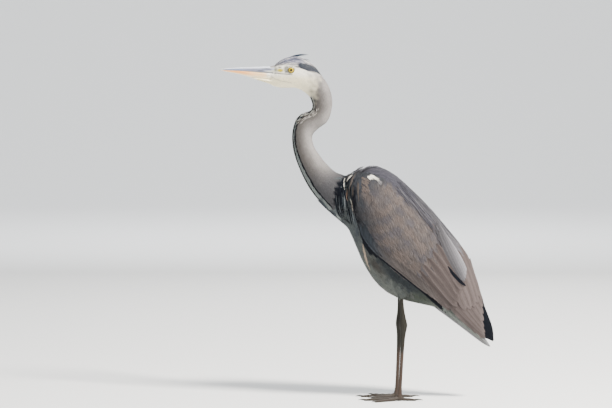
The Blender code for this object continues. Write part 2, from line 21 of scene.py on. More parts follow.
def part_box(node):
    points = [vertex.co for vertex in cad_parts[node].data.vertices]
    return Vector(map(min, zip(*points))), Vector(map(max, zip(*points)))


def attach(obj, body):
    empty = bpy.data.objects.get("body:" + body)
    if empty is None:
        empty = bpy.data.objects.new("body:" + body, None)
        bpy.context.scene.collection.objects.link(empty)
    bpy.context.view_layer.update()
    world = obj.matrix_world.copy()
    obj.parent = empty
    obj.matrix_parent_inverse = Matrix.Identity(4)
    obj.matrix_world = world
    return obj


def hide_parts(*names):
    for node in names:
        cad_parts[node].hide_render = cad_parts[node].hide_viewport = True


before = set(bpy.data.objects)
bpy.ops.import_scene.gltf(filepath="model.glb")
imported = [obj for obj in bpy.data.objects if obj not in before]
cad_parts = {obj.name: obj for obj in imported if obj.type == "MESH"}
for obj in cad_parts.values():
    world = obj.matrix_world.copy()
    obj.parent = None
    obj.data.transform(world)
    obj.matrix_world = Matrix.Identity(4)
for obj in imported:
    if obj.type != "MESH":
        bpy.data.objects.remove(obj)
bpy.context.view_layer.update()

LOG = logging.getLogger("heron")
Array = np.ndarray
MM = 0.001
BODY = "root"
SIDES = {"left": -1.0, "right": 1.0}
UP = np.array((0.0, 0.0, 1.0))
ALONG_BODY = np.array((math.sqrt(0.5), 0.0, -math.sqrt(0.5)))
OVER_BODY = np.array((math.sqrt(0.5), 0.0, math.sqrt(0.5)))

# Throat edge (x, z), nape edge (x, z) and half width down the head and neck, in mm.
HEAD_AND_NECK = (
    (-280.5, 691.7, -280.5, 732.8, 12.5),
    (-261.8, 686.4, -261.8, 746.7, 18.0),
    (-240.0, 686.5, -239.8, 755.5, 21.5),
    (-225.9, 686.0, -217.8, 754.6, 22.5),
    (-211.2, 678.7, -189.2, 738.1, 22.0),
    (-198.0, 666.6, -170.5, 715.0, 21.0),
    (-192.1, 654.5, -152.9, 689.3, 20.0),
    (-191.4, 644.6, -145.2, 660.0, 19.5),
    (-193.6, 637.8, -147.4, 634.7, 19.5),
    (-201.3, 634.4, -156.2, 611.6, 20.0),
    (-217.0, 628.8, -174.9, 597.3, 20.5),
    (-229.2, 613.8, -187.9, 584.5, 20.5),
    (-235.6, 589.6, -189.4, 573.1, 20.5),
    (-235.4, 564.1, -185.2, 556.6, 21.0),
    (-230.3, 537.9, -173.8, 539.0, 22.5),
    (-218.2, 504.9, -158.4, 519.9, 25.0),
    (-195.8, 460.9, -139.7, 502.7, 30.0),
    (-165.9, 423.9, -122.0, 496.0, 40.0),
    (-125.8, 388.1, -103.4, 484.0, 50.0),
)
# Distance down the trunk, top, bottom and half width, in mm.
TRUNK = (
    (8, 30, -12, 22),
    (22, 66, -29, 40),
    (45, 84, -43, 52),
    (80, 95, -50, 60),
    (120, 98, -64, 63),
    (170, 99, -84, 64),
    (220, 97, -95, 63),
    (260, 94, -92, 59),
    (300, 89, -75, 52),
    (335, 78, -50, 42),
    (365, 55, -34, 30),
    (390, 24, -28, 19),
)
# Distance down the trunk, upper and lower edge of the folded wing as degrees from
# the back, and how far its face stands out, in mm.
WING = (
    (13, 24, 88, 5.0),
    (30, 23, 102, 8.0),
    (50, 22, 114, 9.0),
    (79, 21, 126, 9.5),
    (109, 19, 133, 10.0),
    (150, 15, 131, 10.0),
    (180, 12, 125, 10.0),
    (230, 9, 121, 10.0),
    (276, 6, 120, 10.0),
    (310, 5, 121, 10.0),
    (345, 6, 123, 12.0),
    (384, 8, 121, 18.0),
)
EYE_FROM_FEET = -237.0 * MM
# The eye's centre from the middle plane, and the bill's tip and base from the feet.
EYE_ASIDE = 14.4 * MM
BILL_TIP = -393.0 * MM
BILL_BASE = -276.0 * MM
# Where the wing's table starts and ends, how far the wing's coat stands outside the
# trunk's own surface, and how far from the skin a root on it may lie.
WING_ENDS = (13 * MM, 384 * MM)
WING_COAT = 8 * MM
WING_SLACK = 14 * MM


# ------------------------------------------------------------------ numbers and curves


def unit(vectors: Array) -> Array:
    """Each row of an array brought to length one."""
    return vectors / np.maximum(np.linalg.norm(vectors, axis=-1, keepdims=True), 1e-12)


def dot(left: Array, right: Array) -> Array:
    """The row by row dot product, kept as a column."""
    return np.sum(left * right, axis=-1, keepdims=True)


def step_up(low: float, high: float, value: Array) -> Array:
    """A smooth step from 0 at low to 1 at high, or down again if high is the lower."""
    share = np.clip((np.asarray(value, float) - low) / (high - low), 0.0, 1.0)
    return share * share * (3.0 - 2.0 * share)


def hump(centre: float, reach: float, value: Array) -> Array:
    """A smooth hump of height one round a centre, down to nothing at its reach."""
    return step_up(reach, 0.0, np.abs(np.asarray(value, float) - centre))


def mixed(under: Array, over: Array, share: Array) -> Array:
    """One set of colours laid over another by a share for each row."""
    share = np.asarray(share, float).reshape(-1, 1)
    return np.asarray(under) * (1.0 - share) + np.asarray(over) * share


def full_turn(count: int) -> Array:
    """Evenly spaced angles once round, from 0."""
    return np.linspace(0.0, math.tau, count, endpoint=False)


def per_row(value: Array | tuple[float, ...], count: int) -> Array:
    """The same colour or direction for each of a number of rows."""
    return np.tile(value, (count, 1))


def column(table: tuple, place: int) -> Array:
    """One column of a table, as numbers."""
    return np.array([row[place] for row in table], float)


def eased(knots: Array, rows: Array, at: Array) -> Array:
    """Rows on a smooth curve through every given row.

    Args:
        knots: the place of each given row.
        rows: the given rows.
        at: the places that are wanted.

    Returns:
        One row for each place.
    """
    at = np.atleast_1d(np.asarray(at, float))
    last = len(knots) - 2
    i = np.clip(np.searchsorted(knots, at, side="right") - 1, 0, last)
    before = np.maximum(np.arange(len(knots)) - 1, 0)
    after = np.minimum(np.arange(len(knots)) + 1, len(knots) - 1)
    slope = (rows[after] - rows[before]) / (knots[after] - knots[before])[:, None]
    step = (knots[i + 1] - knots[i])[:, None]
    u = (at - knots[i])[:, None] / step
    start, end = 2 * u**3 - 3 * u**2 + 1, 3 * u**2 - 2 * u**3
    leave, arrive = (u**3 - 2 * u**2 + u) * step, (u**3 - u**2) * step
    return start * rows[i] + end * rows[i + 1] + leave * slope[i] + arrive * slope[i + 1]


def clouds(points: Array, scale: float, seed: int) -> Array:
    """A smooth random value between about -1 and 1 for each point.

    Args:
        points: places in metres.
        scale: the size of the clouds, in metres.
        seed: which pattern of clouds.

    Returns:
        One value for each place.
    """
    draw = np.random.default_rng(seed)
    total = np.zeros(len(points))
    for _ in range(9):
        wave = draw.normal(size=3) / scale
        total += np.sin(points @ wave * 2.2 + draw.uniform(0.0, math.tau))
    return total / 3.0


# ------------------------------------------------------------------ forms of the body


@dataclass
class NeckForm:
    """The tube that the head and neck follow through the bird's middle plane."""

    shift: float

    def __post_init__(self) -> None:
        """Places the sections in the frame and measures the path."""
        self.rows = np.array(HEAD_AND_NECK) * MM
        self.rows[:, (0, 2)] += self.shift
        middle = 0.5 * (self.rows[:, :2] + self.rows[:, 2:4])
        steps = np.linalg.norm(np.diff(middle, axis=0), axis=1)
        self.knots = np.concatenate(((0.0,), np.cumsum(steps)))
        self.length = float(self.knots[-1])
        self.head_end = float(self.knots[5] + 0.3 * (self.knots[6] - self.knots[5]))
        self.samples = np.linspace(0.0, self.length, 320)
        here = eased(self.knots, self.rows, self.samples)
        self.middles = 0.5 * (here[:, :2] + here[:, 2:4])
        self.ways = unit(np.gradient(self.middles, axis=0))
        self.rises = unit(here[:, 2:4] - here[:, :2])
        self.halves = 0.5 * np.linalg.norm(here[:, 2:4] - here[:, :2], axis=1)
        self.widths = here[:, 4]

    def place(self, number: float) -> float:
        """The distance along the path of a place between two given sections."""
        whole = min(int(number), len(self.knots) - 2)
        return float(self.knots[whole] + (number - whole) * np.diff(self.knots)[whole])

    def surface(self, at: Array, turn: Array, out: float = 0.0) -> Array:
        """Points on the tube.

        Args:
            at: distances along the path.
            turn: angles from the nape, positive towards the right side.
            out: how far outside the tube, in metres.

        Returns:
            One point for each pair.
        """
        here = eased(self.knots, self.rows, at)
        across = here[:, 2:4] - here[:, :2]
        half = 0.5 * np.linalg.norm(across, axis=1) + out
        rise = np.cos(turn)
        pinch = 0.12 * np.maximum(0.0, 1.0 - np.asarray(at) / self.head_end)
        middle = 0.5 * (here[:, :2] + here[:, 2:4])
        flat = middle + unit(across) * (half * rise)[:, None]
        side = (here[:, 4] + out) * (1.0 - pinch * rise**2) * np.sin(turn)
        return np.column_stack((flat[:, 0], side, flat[:, 1]))

    def coordinates(self, points: Array) -> tuple[Array, Array, Array]:
        """Where points lie by the path.

        Args:
            points: places in metres.

        Returns:
            Distance along the path, angle from the nape, and how far out as a share
            of the tube's own size.
        """
        at, turn, out = (np.zeros(len(points)) for _ in range(3))
        for first in range(0, len(points), 8000):
            part = slice(first, first + 8000)
            flat = points[part][:, (0, 2)]
            gap = flat[:, None, :] - self.middles[None]
            near = np.argmin(np.sum(gap * gap, axis=2), axis=1)
            rise = np.sum((flat - self.middles[near]) * self.rises[near], axis=1)
            rise /= self.halves[near]
            side = points[part][:, 1] / self.widths[near]
            at[part] = self.samples[near]
            turn[part] = np.arctan2(side, rise)
            out[part] = np.hypot(side, rise)
        return at, turn, out

    def way(self, at: Array) -> Array:
        """The direction down the path at each distance."""
        near = np.clip(np.searchsorted(self.samples, at), 0, len(self.samples) - 1)
        flat = self.ways[near]
        return np.column_stack((flat[:, 0], np.zeros(len(flat)), flat[:, 1]))


@dataclass
class TrunkForm:
    """The trunk, told by distance down a line from chest to tail and angle from the
    back."""

    shift: float
    widest: float = 0.55

    def __post_init__(self) -> None:
        """Places the trunk's line in the frame."""
        self.chest = np.array((-141.4 * MM + self.shift, 0.0, 480.8 * MM))
        self.rows = np.array(TRUNK, float) * MM
        self.wing = np.array(WING, float)

    def surface(self, along: Array, turn: Array, out: Array) -> Array:
        """Points on the trunk.

        Args:
            along: distances down the trunk, in metres.
            turn: angles from the back, positive towards the right side.
            out: how far outside the trunk, in metres.

        Returns:
            One point for each row.
        """
        here = eased(self.rows[:, 0], self.rows, along)
        middle = here[:, 2] + self.widest * (here[:, 1] - here[:, 2])
        rise = np.cos(turn)
        height = np.where(rise > 0.0, here[:, 1] - middle, middle - here[:, 2]) + out
        width = (here[:, 3] + out) * (1.0 - 0.16 * np.maximum(0.0, -rise) ** 2)
        over = middle + height * rise
        spine = self.chest + np.outer(along, ALONG_BODY) + np.outer(over, OVER_BODY)
        spine[:, 1] += width * np.sin(turn)
        return spine

    def coordinates(self, points: Array) -> tuple[Array, Array]:
        """Distance down the trunk and angle from the back, for each point."""
        gap = points - self.chest
        along = gap @ ALONG_BODY
        here = eased(self.rows[:, 0], self.rows, np.clip(along, 8 * MM, 390 * MM))
        middle = here[:, 2] + self.widest * (here[:, 1] - here[:, 2])
        over = gap @ OVER_BODY - middle
        height = np.where(over > 0.0, here[:, 1] - middle, middle - here[:, 2])
        turn = np.arctan2(points[:, 1] / (here[:, 3] + WING_COAT), over / (height + WING_COAT))
        return along, turn

    def edges(self, along: Array) -> tuple[Array, Array, Array]:
        """The folded wing's upper and lower edge in radians, and its stand-out in
        metres, at each distance."""
        here = eased(self.wing[:, 0], self.wing, np.asarray(along) / MM)
        return np.radians(here[:, 1]), np.radians(here[:, 2]), here[:, 3] * MM


@dataclass
class QuillForm:
    """The roof that the long wing feathers close over the tail."""

    trunk: TrunkForm
    start: float = 338.0 * MM
    end: float = 497.0 * MM

    def surface(self, share: Array, turn: Array, inset: Array) -> Array:
        """Points on the roof.

        Args:
            share: how far down the quills, from 0 to 1.
            turn: angles from the ridge, positive towards the right side.
            inset: how far below the roof, in metres.

        Returns:
            One point for each row.
        """
        share = np.asarray(share, float)
        held = np.clip(share, -0.35, 1.0)
        inset = np.asarray(inset) / MM
        rear = np.maximum(held, 0.0)
        ridge = 88.0 - 78.0 * held - 2.5 * np.sin(math.pi * held) - 9.0 * rear**16
        hem = -13.0 + 2.0 * held + 6.0 * rear**6
        reach = 45.0 - 27.0 * held - 9.0 * rear**5 - inset
        last = math.radians(97.0)
        fall = (ridge - inset - hem) * (1.0 - np.cos(turn)) / (1.0 - math.cos(last))
        side = reach * np.sin(turn) * MM
        over = (ridge - inset - fall) * MM
        along = self.start + (self.end - self.start) * share
        spine = self.trunk.chest + np.outer(along, ALONG_BODY) + np.outer(over, OVER_BODY)
        spine[:, 1] += side
        return spine


# ------------------------------------------------------------------ finishes


BARB_SLANT = -0.30
FULL_WAVE = 6.283


class Sheen(Enum):
    """How a finish takes the light: roughness, sheen, coat and specular level."""

    DOWN = (0.85, 0.06, 0.0, 0.05)
    VANE = (0.62, 0.0, 0.0, 0.06)
    HORN = (0.38, 0.0, 0.25, 0.35)
    HIDE = (0.62, 0.0, 0.06, 0.20)
    WET = (0.08, 0.0, 0.35, 0.15)
    MATT = (0.9, 0.0, 0.0, 0.1)


class Nodes:
    """Short ways to add shader nodes to one tree."""

    def __init__(self, tree: bpy.types.NodeTree) -> None:
        """Keeps the tree that nodes are added to."""
        self.tree = tree

    def add(self, kind: str, feeds: dict | None = None, **settings: object) -> bpy.types.Node:
        """A new node with its settings.

        Args:
            kind: its type.
            feeds: what each of its inputs gets, by name or number.
            settings: its own settings.

        Returns:
            The node.
        """
        node = self.tree.nodes.new(kind)
        for name, value in settings.items():
            setattr(node, name, value)
        for name, value in (feeds or {}).items():
            self.join(value, node.inputs[name])
        return node

    def join(self, source: object, target: bpy.types.NodeSocket) -> None:
        """Gives a socket a number or a colour, or links another socket to it."""
        if isinstance(source, (int, float)):
            target.default_value = source
        elif isinstance(source, tuple):
            target.default_value = (*source, 1.0)
        else:
            self.tree.links.new(source, target)

    def sum(self, operation: str, *values: object, clamp: bool = False) -> object:
        """The socket that holds the result of a Math node."""
        node = self.add("ShaderNodeMath", dict(enumerate(values)), operation=operation, use_clamp=clamp)
        return node.outputs[0]

    def blend(self, share: object, under: object, over: object) -> object:
        """The colour socket of one colour laid over another by a share."""
        return self.add("ShaderNodeMix", {0: share, 6: under, 7: over}, data_type="RGBA").outputs[2]

    def scaled(self, colour: object, factor: object) -> object:
        """The socket of a colour made darker or lighter by a factor."""
        return self.add("ShaderNodeVectorMath", {0: colour, "Scale": factor}, operation="SCALE").outputs[0]

    def noise(self, scale: object, **more: object) -> object:
        """The value socket of a noise over the piece's own space."""
        where = self.add("ShaderNodeTexCoord").outputs["Object"]
        return self.add("ShaderNodeTexNoise", {"Scale": scale, "Vector": where, **more}).outputs["Fac"]


def shader_group(
    name: str, inputs: tuple[tuple[str, str, object], ...], outputs: tuple[tuple[str, str], ...]
) -> tuple[bpy.types.NodeTree, Nodes, bpy.types.Node, bpy.types.Node]:
    """An empty shader node group with named sockets.

    Args:
        name: the group's name.
        inputs: name, kind and usual value of each input.
        outputs: name and kind of each output.

    Returns:
        The group, a helper for its nodes, its input node and its output node.
    """
    tree = bpy.data.node_groups.new(name, "ShaderNodeTree")
    for label, kind, usual in inputs:
        socket = tree.interface.new_socket(label, in_out="INPUT", socket_type=f"NodeSocket{kind}")
        if usual is not None:
            socket.default_value = usual
    for label, kind in outputs:
        tree.interface.new_socket(label, in_out="OUTPUT", socket_type=f"NodeSocket{kind}")
    nodes = Nodes(tree)
    return tree, nodes, nodes.add("NodeGroupInput"), nodes.add("NodeGroupOutput")


def barb_group() -> bpy.types.NodeTree:
    """The group that draws shaft and barbs on a vane.

    Returns:
        The group: it takes a tint and the place on the vane, and gives a colour and a
        height.
    """
    tree, nodes, taken, given = shader_group(
        "vane_barbs",
        (("Tint", "Color", None), ("Place", "Vector", None), ("Barbs", "Float", 30.0),
         ("Depth", "Float", 0.2), ("Shaft", "Float", 0.3)),
        (("Colour", "Color"), ("Height", "Float")),
    )
    tint, barbs = taken.outputs["Tint"], taken.outputs["Barbs"]
    part = nodes.add("ShaderNodeSeparateXYZ", {0: taken.outputs["Place"]})
    across = nodes.sum("ABSOLUTE", part.outputs[0], 0.0)
    phase = nodes.sum("MULTIPLY_ADD", across, BARB_SLANT, part.outputs[1])
    wander = nodes.sum("MULTIPLY", nodes.noise(160.0, Detail=3.0), 9.0)
    wavy = nodes.sum("MULTIPLY_ADD", phase, barbs, wander)
    wave = nodes.sum("SINE", nodes.sum("MULTIPLY", wavy, FULL_WAVE), 0.0)
    ridge = nodes.sum("MULTIPLY_ADD", wave, 0.5, 0.5)
    shaft = nodes.sum("SUBTRACT", 1.0, nodes.sum("DIVIDE", across, 0.09), clamp=True)
    cloud = nodes.sum("MULTIPLY_ADD", nodes.noise(420.0, Detail=4.0), 0.55, 0.72)
    # painted shade: the tint is darkened in the grooves between barbs, as deep as the Depth input
    groove = nodes.sum("MULTIPLY", nodes.sum("SUBTRACT", 1.0, ridge), taken.outputs["Depth"])
    lit = nodes.scaled(tint, nodes.sum("MULTIPLY", cloud, nodes.sum("SUBTRACT", 1.0, groove)))
    mask = nodes.sum("MULTIPLY", shaft, taken.outputs["Shaft"])
    nodes.join(nodes.blend(mask, lit, nodes.scaled(lit, 0.45)), given.inputs["Colour"])
    nodes.join(nodes.sum("ADD", nodes.sum("MULTIPLY", ridge, 0.5), shaft), given.inputs["Height"])
    return tree


def grain_group() -> bpy.types.NodeTree:
    """The group that breaks up a plain tint with two sizes of mottle.

    Returns:
        The group: it takes a tint, a scale and an amount, and gives a colour and a
        height.
    """
    tree, nodes, taken, given = shader_group(
        "fine_mottle",
        (("Tint", "Color", None), ("Scale", "Float", 200.0), ("Amount", "Float", 0.3)),
        (("Colour", "Color"), ("Height", "Float")),
    )
    scale, amount = taken.outputs["Scale"], taken.outputs["Amount"]
    fine = nodes.noise(scale, Detail=6.0)
    both = nodes.sum("ADD", fine, nodes.noise(nodes.sum("MULTIPLY", scale, 0.17)))
    swing = nodes.sum("MULTIPLY", nodes.sum("SUBTRACT", both, 1.0), amount)
    mottled = nodes.scaled(taken.outputs["Tint"], nodes.sum("ADD", 1.0, swing))
    nodes.join(mottled, given.inputs["Colour"])
    nodes.join(fine, given.inputs["Height"])
    return tree


def scale_group() -> bpy.types.NodeTree:
    """The group that draws a net of small scales.

    Returns:
        The group: it takes a scale, and gives a seam mask and a height.
    """
    tree, nodes, taken, given = shader_group(
        "scale_net", (("Scale", "Float", 500.0),), (("Seam", "Float"), ("Height", "Float"))
    )
    feeds = {
        "Scale": taken.outputs["Scale"], "Vector": nodes.add("ShaderNodeTexCoord").outputs["Object"],
    }
    cells = nodes.add("ShaderNodeTexVoronoi", feeds, feature="DISTANCE_TO_EDGE")
    seam = nodes.sum("SUBTRACT", 1.0, nodes.sum("MULTIPLY", cells.outputs["Distance"], 9.0), clamp=True)
    nodes.join(seam, given.inputs["Seam"])
    nodes.join(nodes.sum("SUBTRACT", 1.0, seam), given.inputs["Height"])
    return tree


@dataclass
class Palette:
    """The shader groups, each built once."""

    def __post_init__(self) -> None:
        """Builds the groups."""
        self.barbs = barb_group()
        self.grain = grain_group()
        self.scales = scale_group()

    @staticmethod
    def blank(name: str, sheen: Sheen) -> tuple[bpy.types.Material, Nodes, bpy.types.Node]:
        """A material with its light set.

        Args:
            name: the material's name.
            sheen: how it takes the light.

        Returns:
            The material, a helper for its nodes, and its shader.
        """
        made = bpy.data.materials.new(name)
        made.use_nodes = True
        shader = made.node_tree.nodes["Principled BSDF"]
        rough, soft, coat, gloss = sheen.value
        for label, value in (
            ("Roughness", rough), ("Sheen Weight", soft), ("Sheen Roughness", 0.45),
            ("Coat Weight", coat), ("Coat Roughness", 0.06 if sheen is Sheen.WET else 0.3),
            ("Specular IOR Level", gloss),
        ):
            shader.inputs[label].default_value = value
        return made, Nodes(made.node_tree), shader

    @staticmethod
    def bump(nodes: Nodes, shader: bpy.types.Node, height: object, depth: float) -> None:
        """Feeds a height to a shader's normal through a Bump node."""
        node = nodes.add("ShaderNodeBump", {"Distance": depth, "Strength": 0.6, "Height": height})
        nodes.join(node.outputs[0], shader.inputs["Normal"])


@dataclass(frozen=True)
class PlumeFinish:
    """The finish of one kind of feather."""

    name: str
    barbs: float
    depth: float
    shaft: float
    sheen: Sheen = Sheen.VANE

    def build(self, palette: Palette) -> bpy.types.Material:
        """The material, which reads each feather's own tint."""
        made, nodes, shader = palette.blank(self.name, self.sheen)
        tint = nodes.add("ShaderNodeAttribute", attribute_name="tint")
        place = nodes.add("ShaderNodeAttribute", attribute_name="vane")
        feeds = {
            "Tint": tint.outputs["Color"], "Place": place.outputs["Vector"], "Barbs": self.barbs,
            "Depth": self.depth, "Shaft": self.shaft,
        }
        group = nodes.add("ShaderNodeGroup", feeds, node_tree=palette.barbs)
        nodes.join(group.outputs["Colour"], shader.inputs["Base Color"])
        palette.bump(nodes, shader, group.outputs["Height"], 0.1 * MM)
        return made


@dataclass(frozen=True)
class HideFinish:
    """The finish of skin, horn or scaly hide that carries its tint on the mesh."""

    name: str
    sheen: Sheen
    scale: float
    amount: float
    depth: float
    net: float = 0.0
    seam: float = 0.35

    def build(self, palette: Palette) -> bpy.types.Material:
        """The material, with a net of scales where its net size isn't nought."""
        made, nodes, shader = palette.blank(self.name, self.sheen)
        tint = nodes.add("ShaderNodeAttribute", attribute_name="tint")
        feeds = {"Tint": tint.outputs["Color"], "Scale": self.scale, "Amount": self.amount}
        group = nodes.add("ShaderNodeGroup", feeds, node_tree=palette.grain)
        colour, height = group.outputs["Colour"], group.outputs["Height"]
        if self.net:
            net = nodes.add("ShaderNodeGroup", {"Scale": self.net}, node_tree=palette.scales)
            colour = nodes.blend(net.outputs["Seam"], colour, nodes.scaled(colour, 1.0 - self.seam))
            height = nodes.sum("ADD", net.outputs["Height"], nodes.sum("MULTIPLY", height, 0.3))
        nodes.join(colour, shader.inputs["Base Color"])
        palette.bump(nodes, shader, height, self.depth)
        return made


# ------------------------------------------------------------------ markings


@dataclass(frozen=True)
class Dyes:
    """The colours of the plumage and the bare parts, as linear red, green and blue; belly and stripe hold
    painted shade.
    """

    white: tuple = (0.92, 0.875, 0.77)
    cream: tuple = (0.92, 0.82, 0.55)
    crown: tuple = (0.20, 0.205, 0.275)
    slate: tuple = (0.022, 0.028, 0.041)
    black: tuple = (0.003, 0.004, 0.007)
    neck: tuple = (0.080, 0.073, 0.069)
    pale: tuple = (0.28, 0.262, 0.252)
    mantle: tuple = (0.041, 0.040, 0.050)
    bluish: tuple = (0.022, 0.026, 0.032)
    coverts: tuple = (0.067, 0.058, 0.056)
    rust: tuple = (0.130, 0.085, 0.064)
    scapular: tuple = (0.100, 0.096, 0.104)
    tertial: tuple = (0.086, 0.069, 0.066)
    # partly the belly's own greyish white, partly painted shade that darkens it
    belly: tuple = (0.078, 0.084, 0.078)
    breast: tuple = (0.060, 0.068, 0.070)
    tail: tuple = (0.14, 0.14, 0.145)
    lore: tuple = (0.54, 0.44, 0.035)
    gape: tuple = (0.020, 0.021, 0.028)
    # the white of the foreneck stripes, darkened to grey and tinted green: painted shade with a painted green
    # reflection
    stripe: tuple = (0.165, 0.185, 0.180)


@dataclass
class Markings:
    """The bird's pattern, as colours at any point of its skin."""

    neck: NeckForm
    trunk: TrunkForm
    eye: Array
    dyes: Dyes = Dyes()

    def from_eye(self, points: Array) -> tuple[Array, Array]:
        """How far behind the eye and above it points lie, in mm."""
        return (points[:, 0] - self.eye[0]) / MM, (points[:, 2] - self.eye[2]) / MM

    def cap_share(self, points: Array) -> Array:
        """How far each point belongs to the crown rather than the face."""
        back, above = self.from_eye(points)
        lower = np.interp(back, (-45, -30, -14, 0, 14, 30, 62), (7, 8.5, 11, 10, 6, 2, -6))
        return step_up(lower - 1.0, lower + 2.0, above) * step_up(74.0, 63.0, back)

    def band_share(self, points: Array) -> Array:
        """How far each point lies in the slate band behind the eye."""
        back, above = self.from_eye(points)
        low = np.interp(back, (7, 16, 25, 36, 49, 57, 63), (9, 5.5, 2.6, 1.4, 1.6, -0.5, -5))
        top = np.interp(back, (7, 10, 22, 33, 45, 53, 66), (10, 15.5, 20.4, 18, 15, 10, 0))
        rough = clouds(points, 5 * MM, 6)
        inside = step_up(low - 1.2, low + 1.5, above + 0.6 * rough)
        inside *= step_up(top + 2.0, top - 2.0, above + 1.3 * rough)
        return inside * step_up(5.0, 11.0, back) * step_up(68.0, 61.0, back)

    def bare_share(self, points: Array) -> Array:
        """How far each point lies in the lores, between eye and bill."""
        back, above = self.from_eye(points)
        return step_up(-5.0, -8.0, back) * hump(0.5, 7.5, above)

    def on_lores(self, tint: Array, points: Array) -> Array:
        """Bill colour running out along the lores, yellow skin, the gape and the folds
        of the cheek, laid over the colours of a face."""
        dyes = self.dyes
        back, above = self.from_eye(points)
        rough = 0.5 * clouds(points, 3 * MM, 8)
        shade = hump(-10.5, 7.5, back + rough) * hump(2.0, 11.0, above)
        tint = mixed(tint, (0.07, 0.08, 0.06), 0.75 * np.minimum(1.0, 2.2 * shade))
        tint = mixed(tint, (0.42, 0.41, 0.31), step_up(-28.0, -33.0, back) * hump(0.8, 7.0, above))
        tint = mixed(tint, (0.21, 0.22, 0.27), step_up(-35.0, -40.0, back + rough) * hump(4.0, 9.0, above))
        yellow = hump(-24.0, 10.0, back) * hump(-0.3, 5.4, above + rough)
        tint = mixed(tint, dyes.lore, np.minimum(1.0, 1.8 * yellow))
        tint = mixed(tint, dyes.slate, 0.9 * hump(-25.5, 7.0, back) * hump(6.2, 2.6, above))
        tint = mixed(tint, dyes.slate, 0.8 * hump(-11.5, 4.0, back) * hump(-4.2, 3.2, above))
        gape = np.interp(back, (-60, -40, -8, 3), (-5.5, -5.8, -9.2, -9.9))
        line = hump(0.0, 1.7, above - gape) * step_up(5.5, 1.0, back)
        tint = mixed(tint, dyes.gape, 0.9 * line)
        fold = np.interp(back, (-44, -38, -22, -3, 4), (-12, -18, -24.5, -27.0, -31.0))
        line = hump(0.0, 2.0, above - fold + rough) * step_up(4.0, -2.0, back)
        return mixed(tint, (0.20, 0.145, 0.095), 0.42 * line)

    def on_head_and_neck(self, points: Array, at: Array, turn: Array) -> Array:
        """The colours of the head and neck.

        Args:
            points: places in metres.
            at: their distances along the path.
            turn: their angles from the nape.

        Returns:
            One colour for each point.
        """
        dyes, head = self.dyes, self.neck.head_end / MM
        away, down = np.abs(turn), at / MM
        back, above = self.from_eye(points)
        grain, soft = clouds(points, 7 * MM, 5), clouds(points, 16 * MM, 4)
        tint = per_row(dyes.neck, len(points))
        # painted light: the nape side of the neck is paled where the light falls on it, less of it part way
        # down
        light = step_up(2.0, 0.5, away + 0.05 * grain)
        light *= 0.78 - 0.25 * hump(150.0, 40.0, down) + 0.10 * soft
        tint = mixed(tint, dyes.pale, light * step_up(375.0, 300.0, down))
        # painted shade: the front of the neck is darkened below its bend
        tint = tint * (1.0 - 0.30 * step_up(2.0, 2.7, away) * step_up(140.0, 170.0, down))[:, None]
        # painted shade: slate deepening towards the foot of the neck
        tint = mixed(tint, dyes.slate, 0.45 * step_up(290.0, 365.0, down + 5.0 * soft))
        shade = hump(128.0, 26.0, down) * hump(2.35, 0.55, away)
        tint = mixed(tint, dyes.slate, 0.55 * shade * (0.8 + 0.3 * grain))
        on_head = step_up(head + 27.0, head - 33.0, down + 6.0 * grain + 18.0 * step_up(2.2, 1.2, away))
        face = mixed(per_row(dyes.white, len(points)), dyes.cream, 0.8 * step_up(-6.0, -22.0, above))
        face = mixed(face, dyes.pale, 0.35 * step_up(8.0, 55.0, back))
        tint = mixed(tint, face, on_head * step_up(0.2, 0.9, away))
        tint = self.on_lores(tint, points)
        cap = self.cap_share(points)
        grey = mixed(per_row(dyes.crown, len(points)), dyes.pale, 0.9 * step_up(20.0, 8.0, above))
        grey = mixed(grey, dyes.white, 0.30 * step_up(8.0, 26.0, back))
        dusky = np.maximum(step_up(20.0, 26.0, above), step_up(-20.0, -30.0, back))
        grey = mixed(grey, dyes.slate, 0.25 * dusky)
        tint = mixed(tint, grey, cap)
        return mixed(tint, dyes.slate, 0.95 * self.band_share(points))

    def front_rows(self, points: Array, at: Array, turn: Array) -> tuple[Array, Array]:
        """The dark rows down the foreneck and the white stripes between them.

        Args:
            points: places in metres.
            at: their distances along the path.
            turn: their angles from the nape.

        Returns:
            The share of dark and the share of white at each point.
        """
        here = eased(self.neck.knots, self.neck.rows, at)
        half = 0.5 * np.linalg.norm(here[:, 2:4] - here[:, :2], axis=1) / MM
        deep = half * (1.0 + np.cos(turn)) + 0.45 * clouds(points, 8 * MM, 9)
        down, edge = at / MM, 2.9
        stripe = edge + np.interp(down, (105, 170, 205, 260, 320, 400), (1.6, 1.6, 1.9, 2.9, 6.0, 8.6))
        outer = step_up(edge + 0.5, edge - 0.5, deep)
        white = step_up(edge - 0.5, edge + 0.4, deep) * step_up(stripe + 0.5, stripe - 0.5, deep)
        inner = step_up(stripe - 0.4, stripe + 0.4, deep) * step_up(stripe + 4.4, stripe + 1.6, deep)
        start = step_up(104.0, 116.0, down)
        broken = 1.0 - 0.75 * hump(190.0, 20.0, down)
        inner = inner * (0.35 + 0.65 * step_up(190.0, 240.0, down))
        return np.maximum(outer * broken, inner) * start, white * start

    def shoulder_shade(self, points: Array) -> Array:
        """How far each point lies in the black painted shadow between neck and wing."""
        x, z = (points[:, 0] - self.trunk.chest[0]) / MM, (points[:, 2] - self.trunk.chest[2]) / MM
        rough = 3.0 * clouds(points, 9 * MM, 13)
        front = np.interp(-z, (-36, -20, 15, 45, 78, 110), (27, 18, -2, -3, 22, 37))
        rear = np.interp(-z, (-36, -26, -5, 40, 78, 110), (40, 40, 42, 40, 36, 36))
        inside = step_up(front - 5.0, front + 5.0, x + rough) * step_up(rear + 7.0, rear - 3.0, x + rough)
        return inside * step_up(-112.0, -80.0, z)

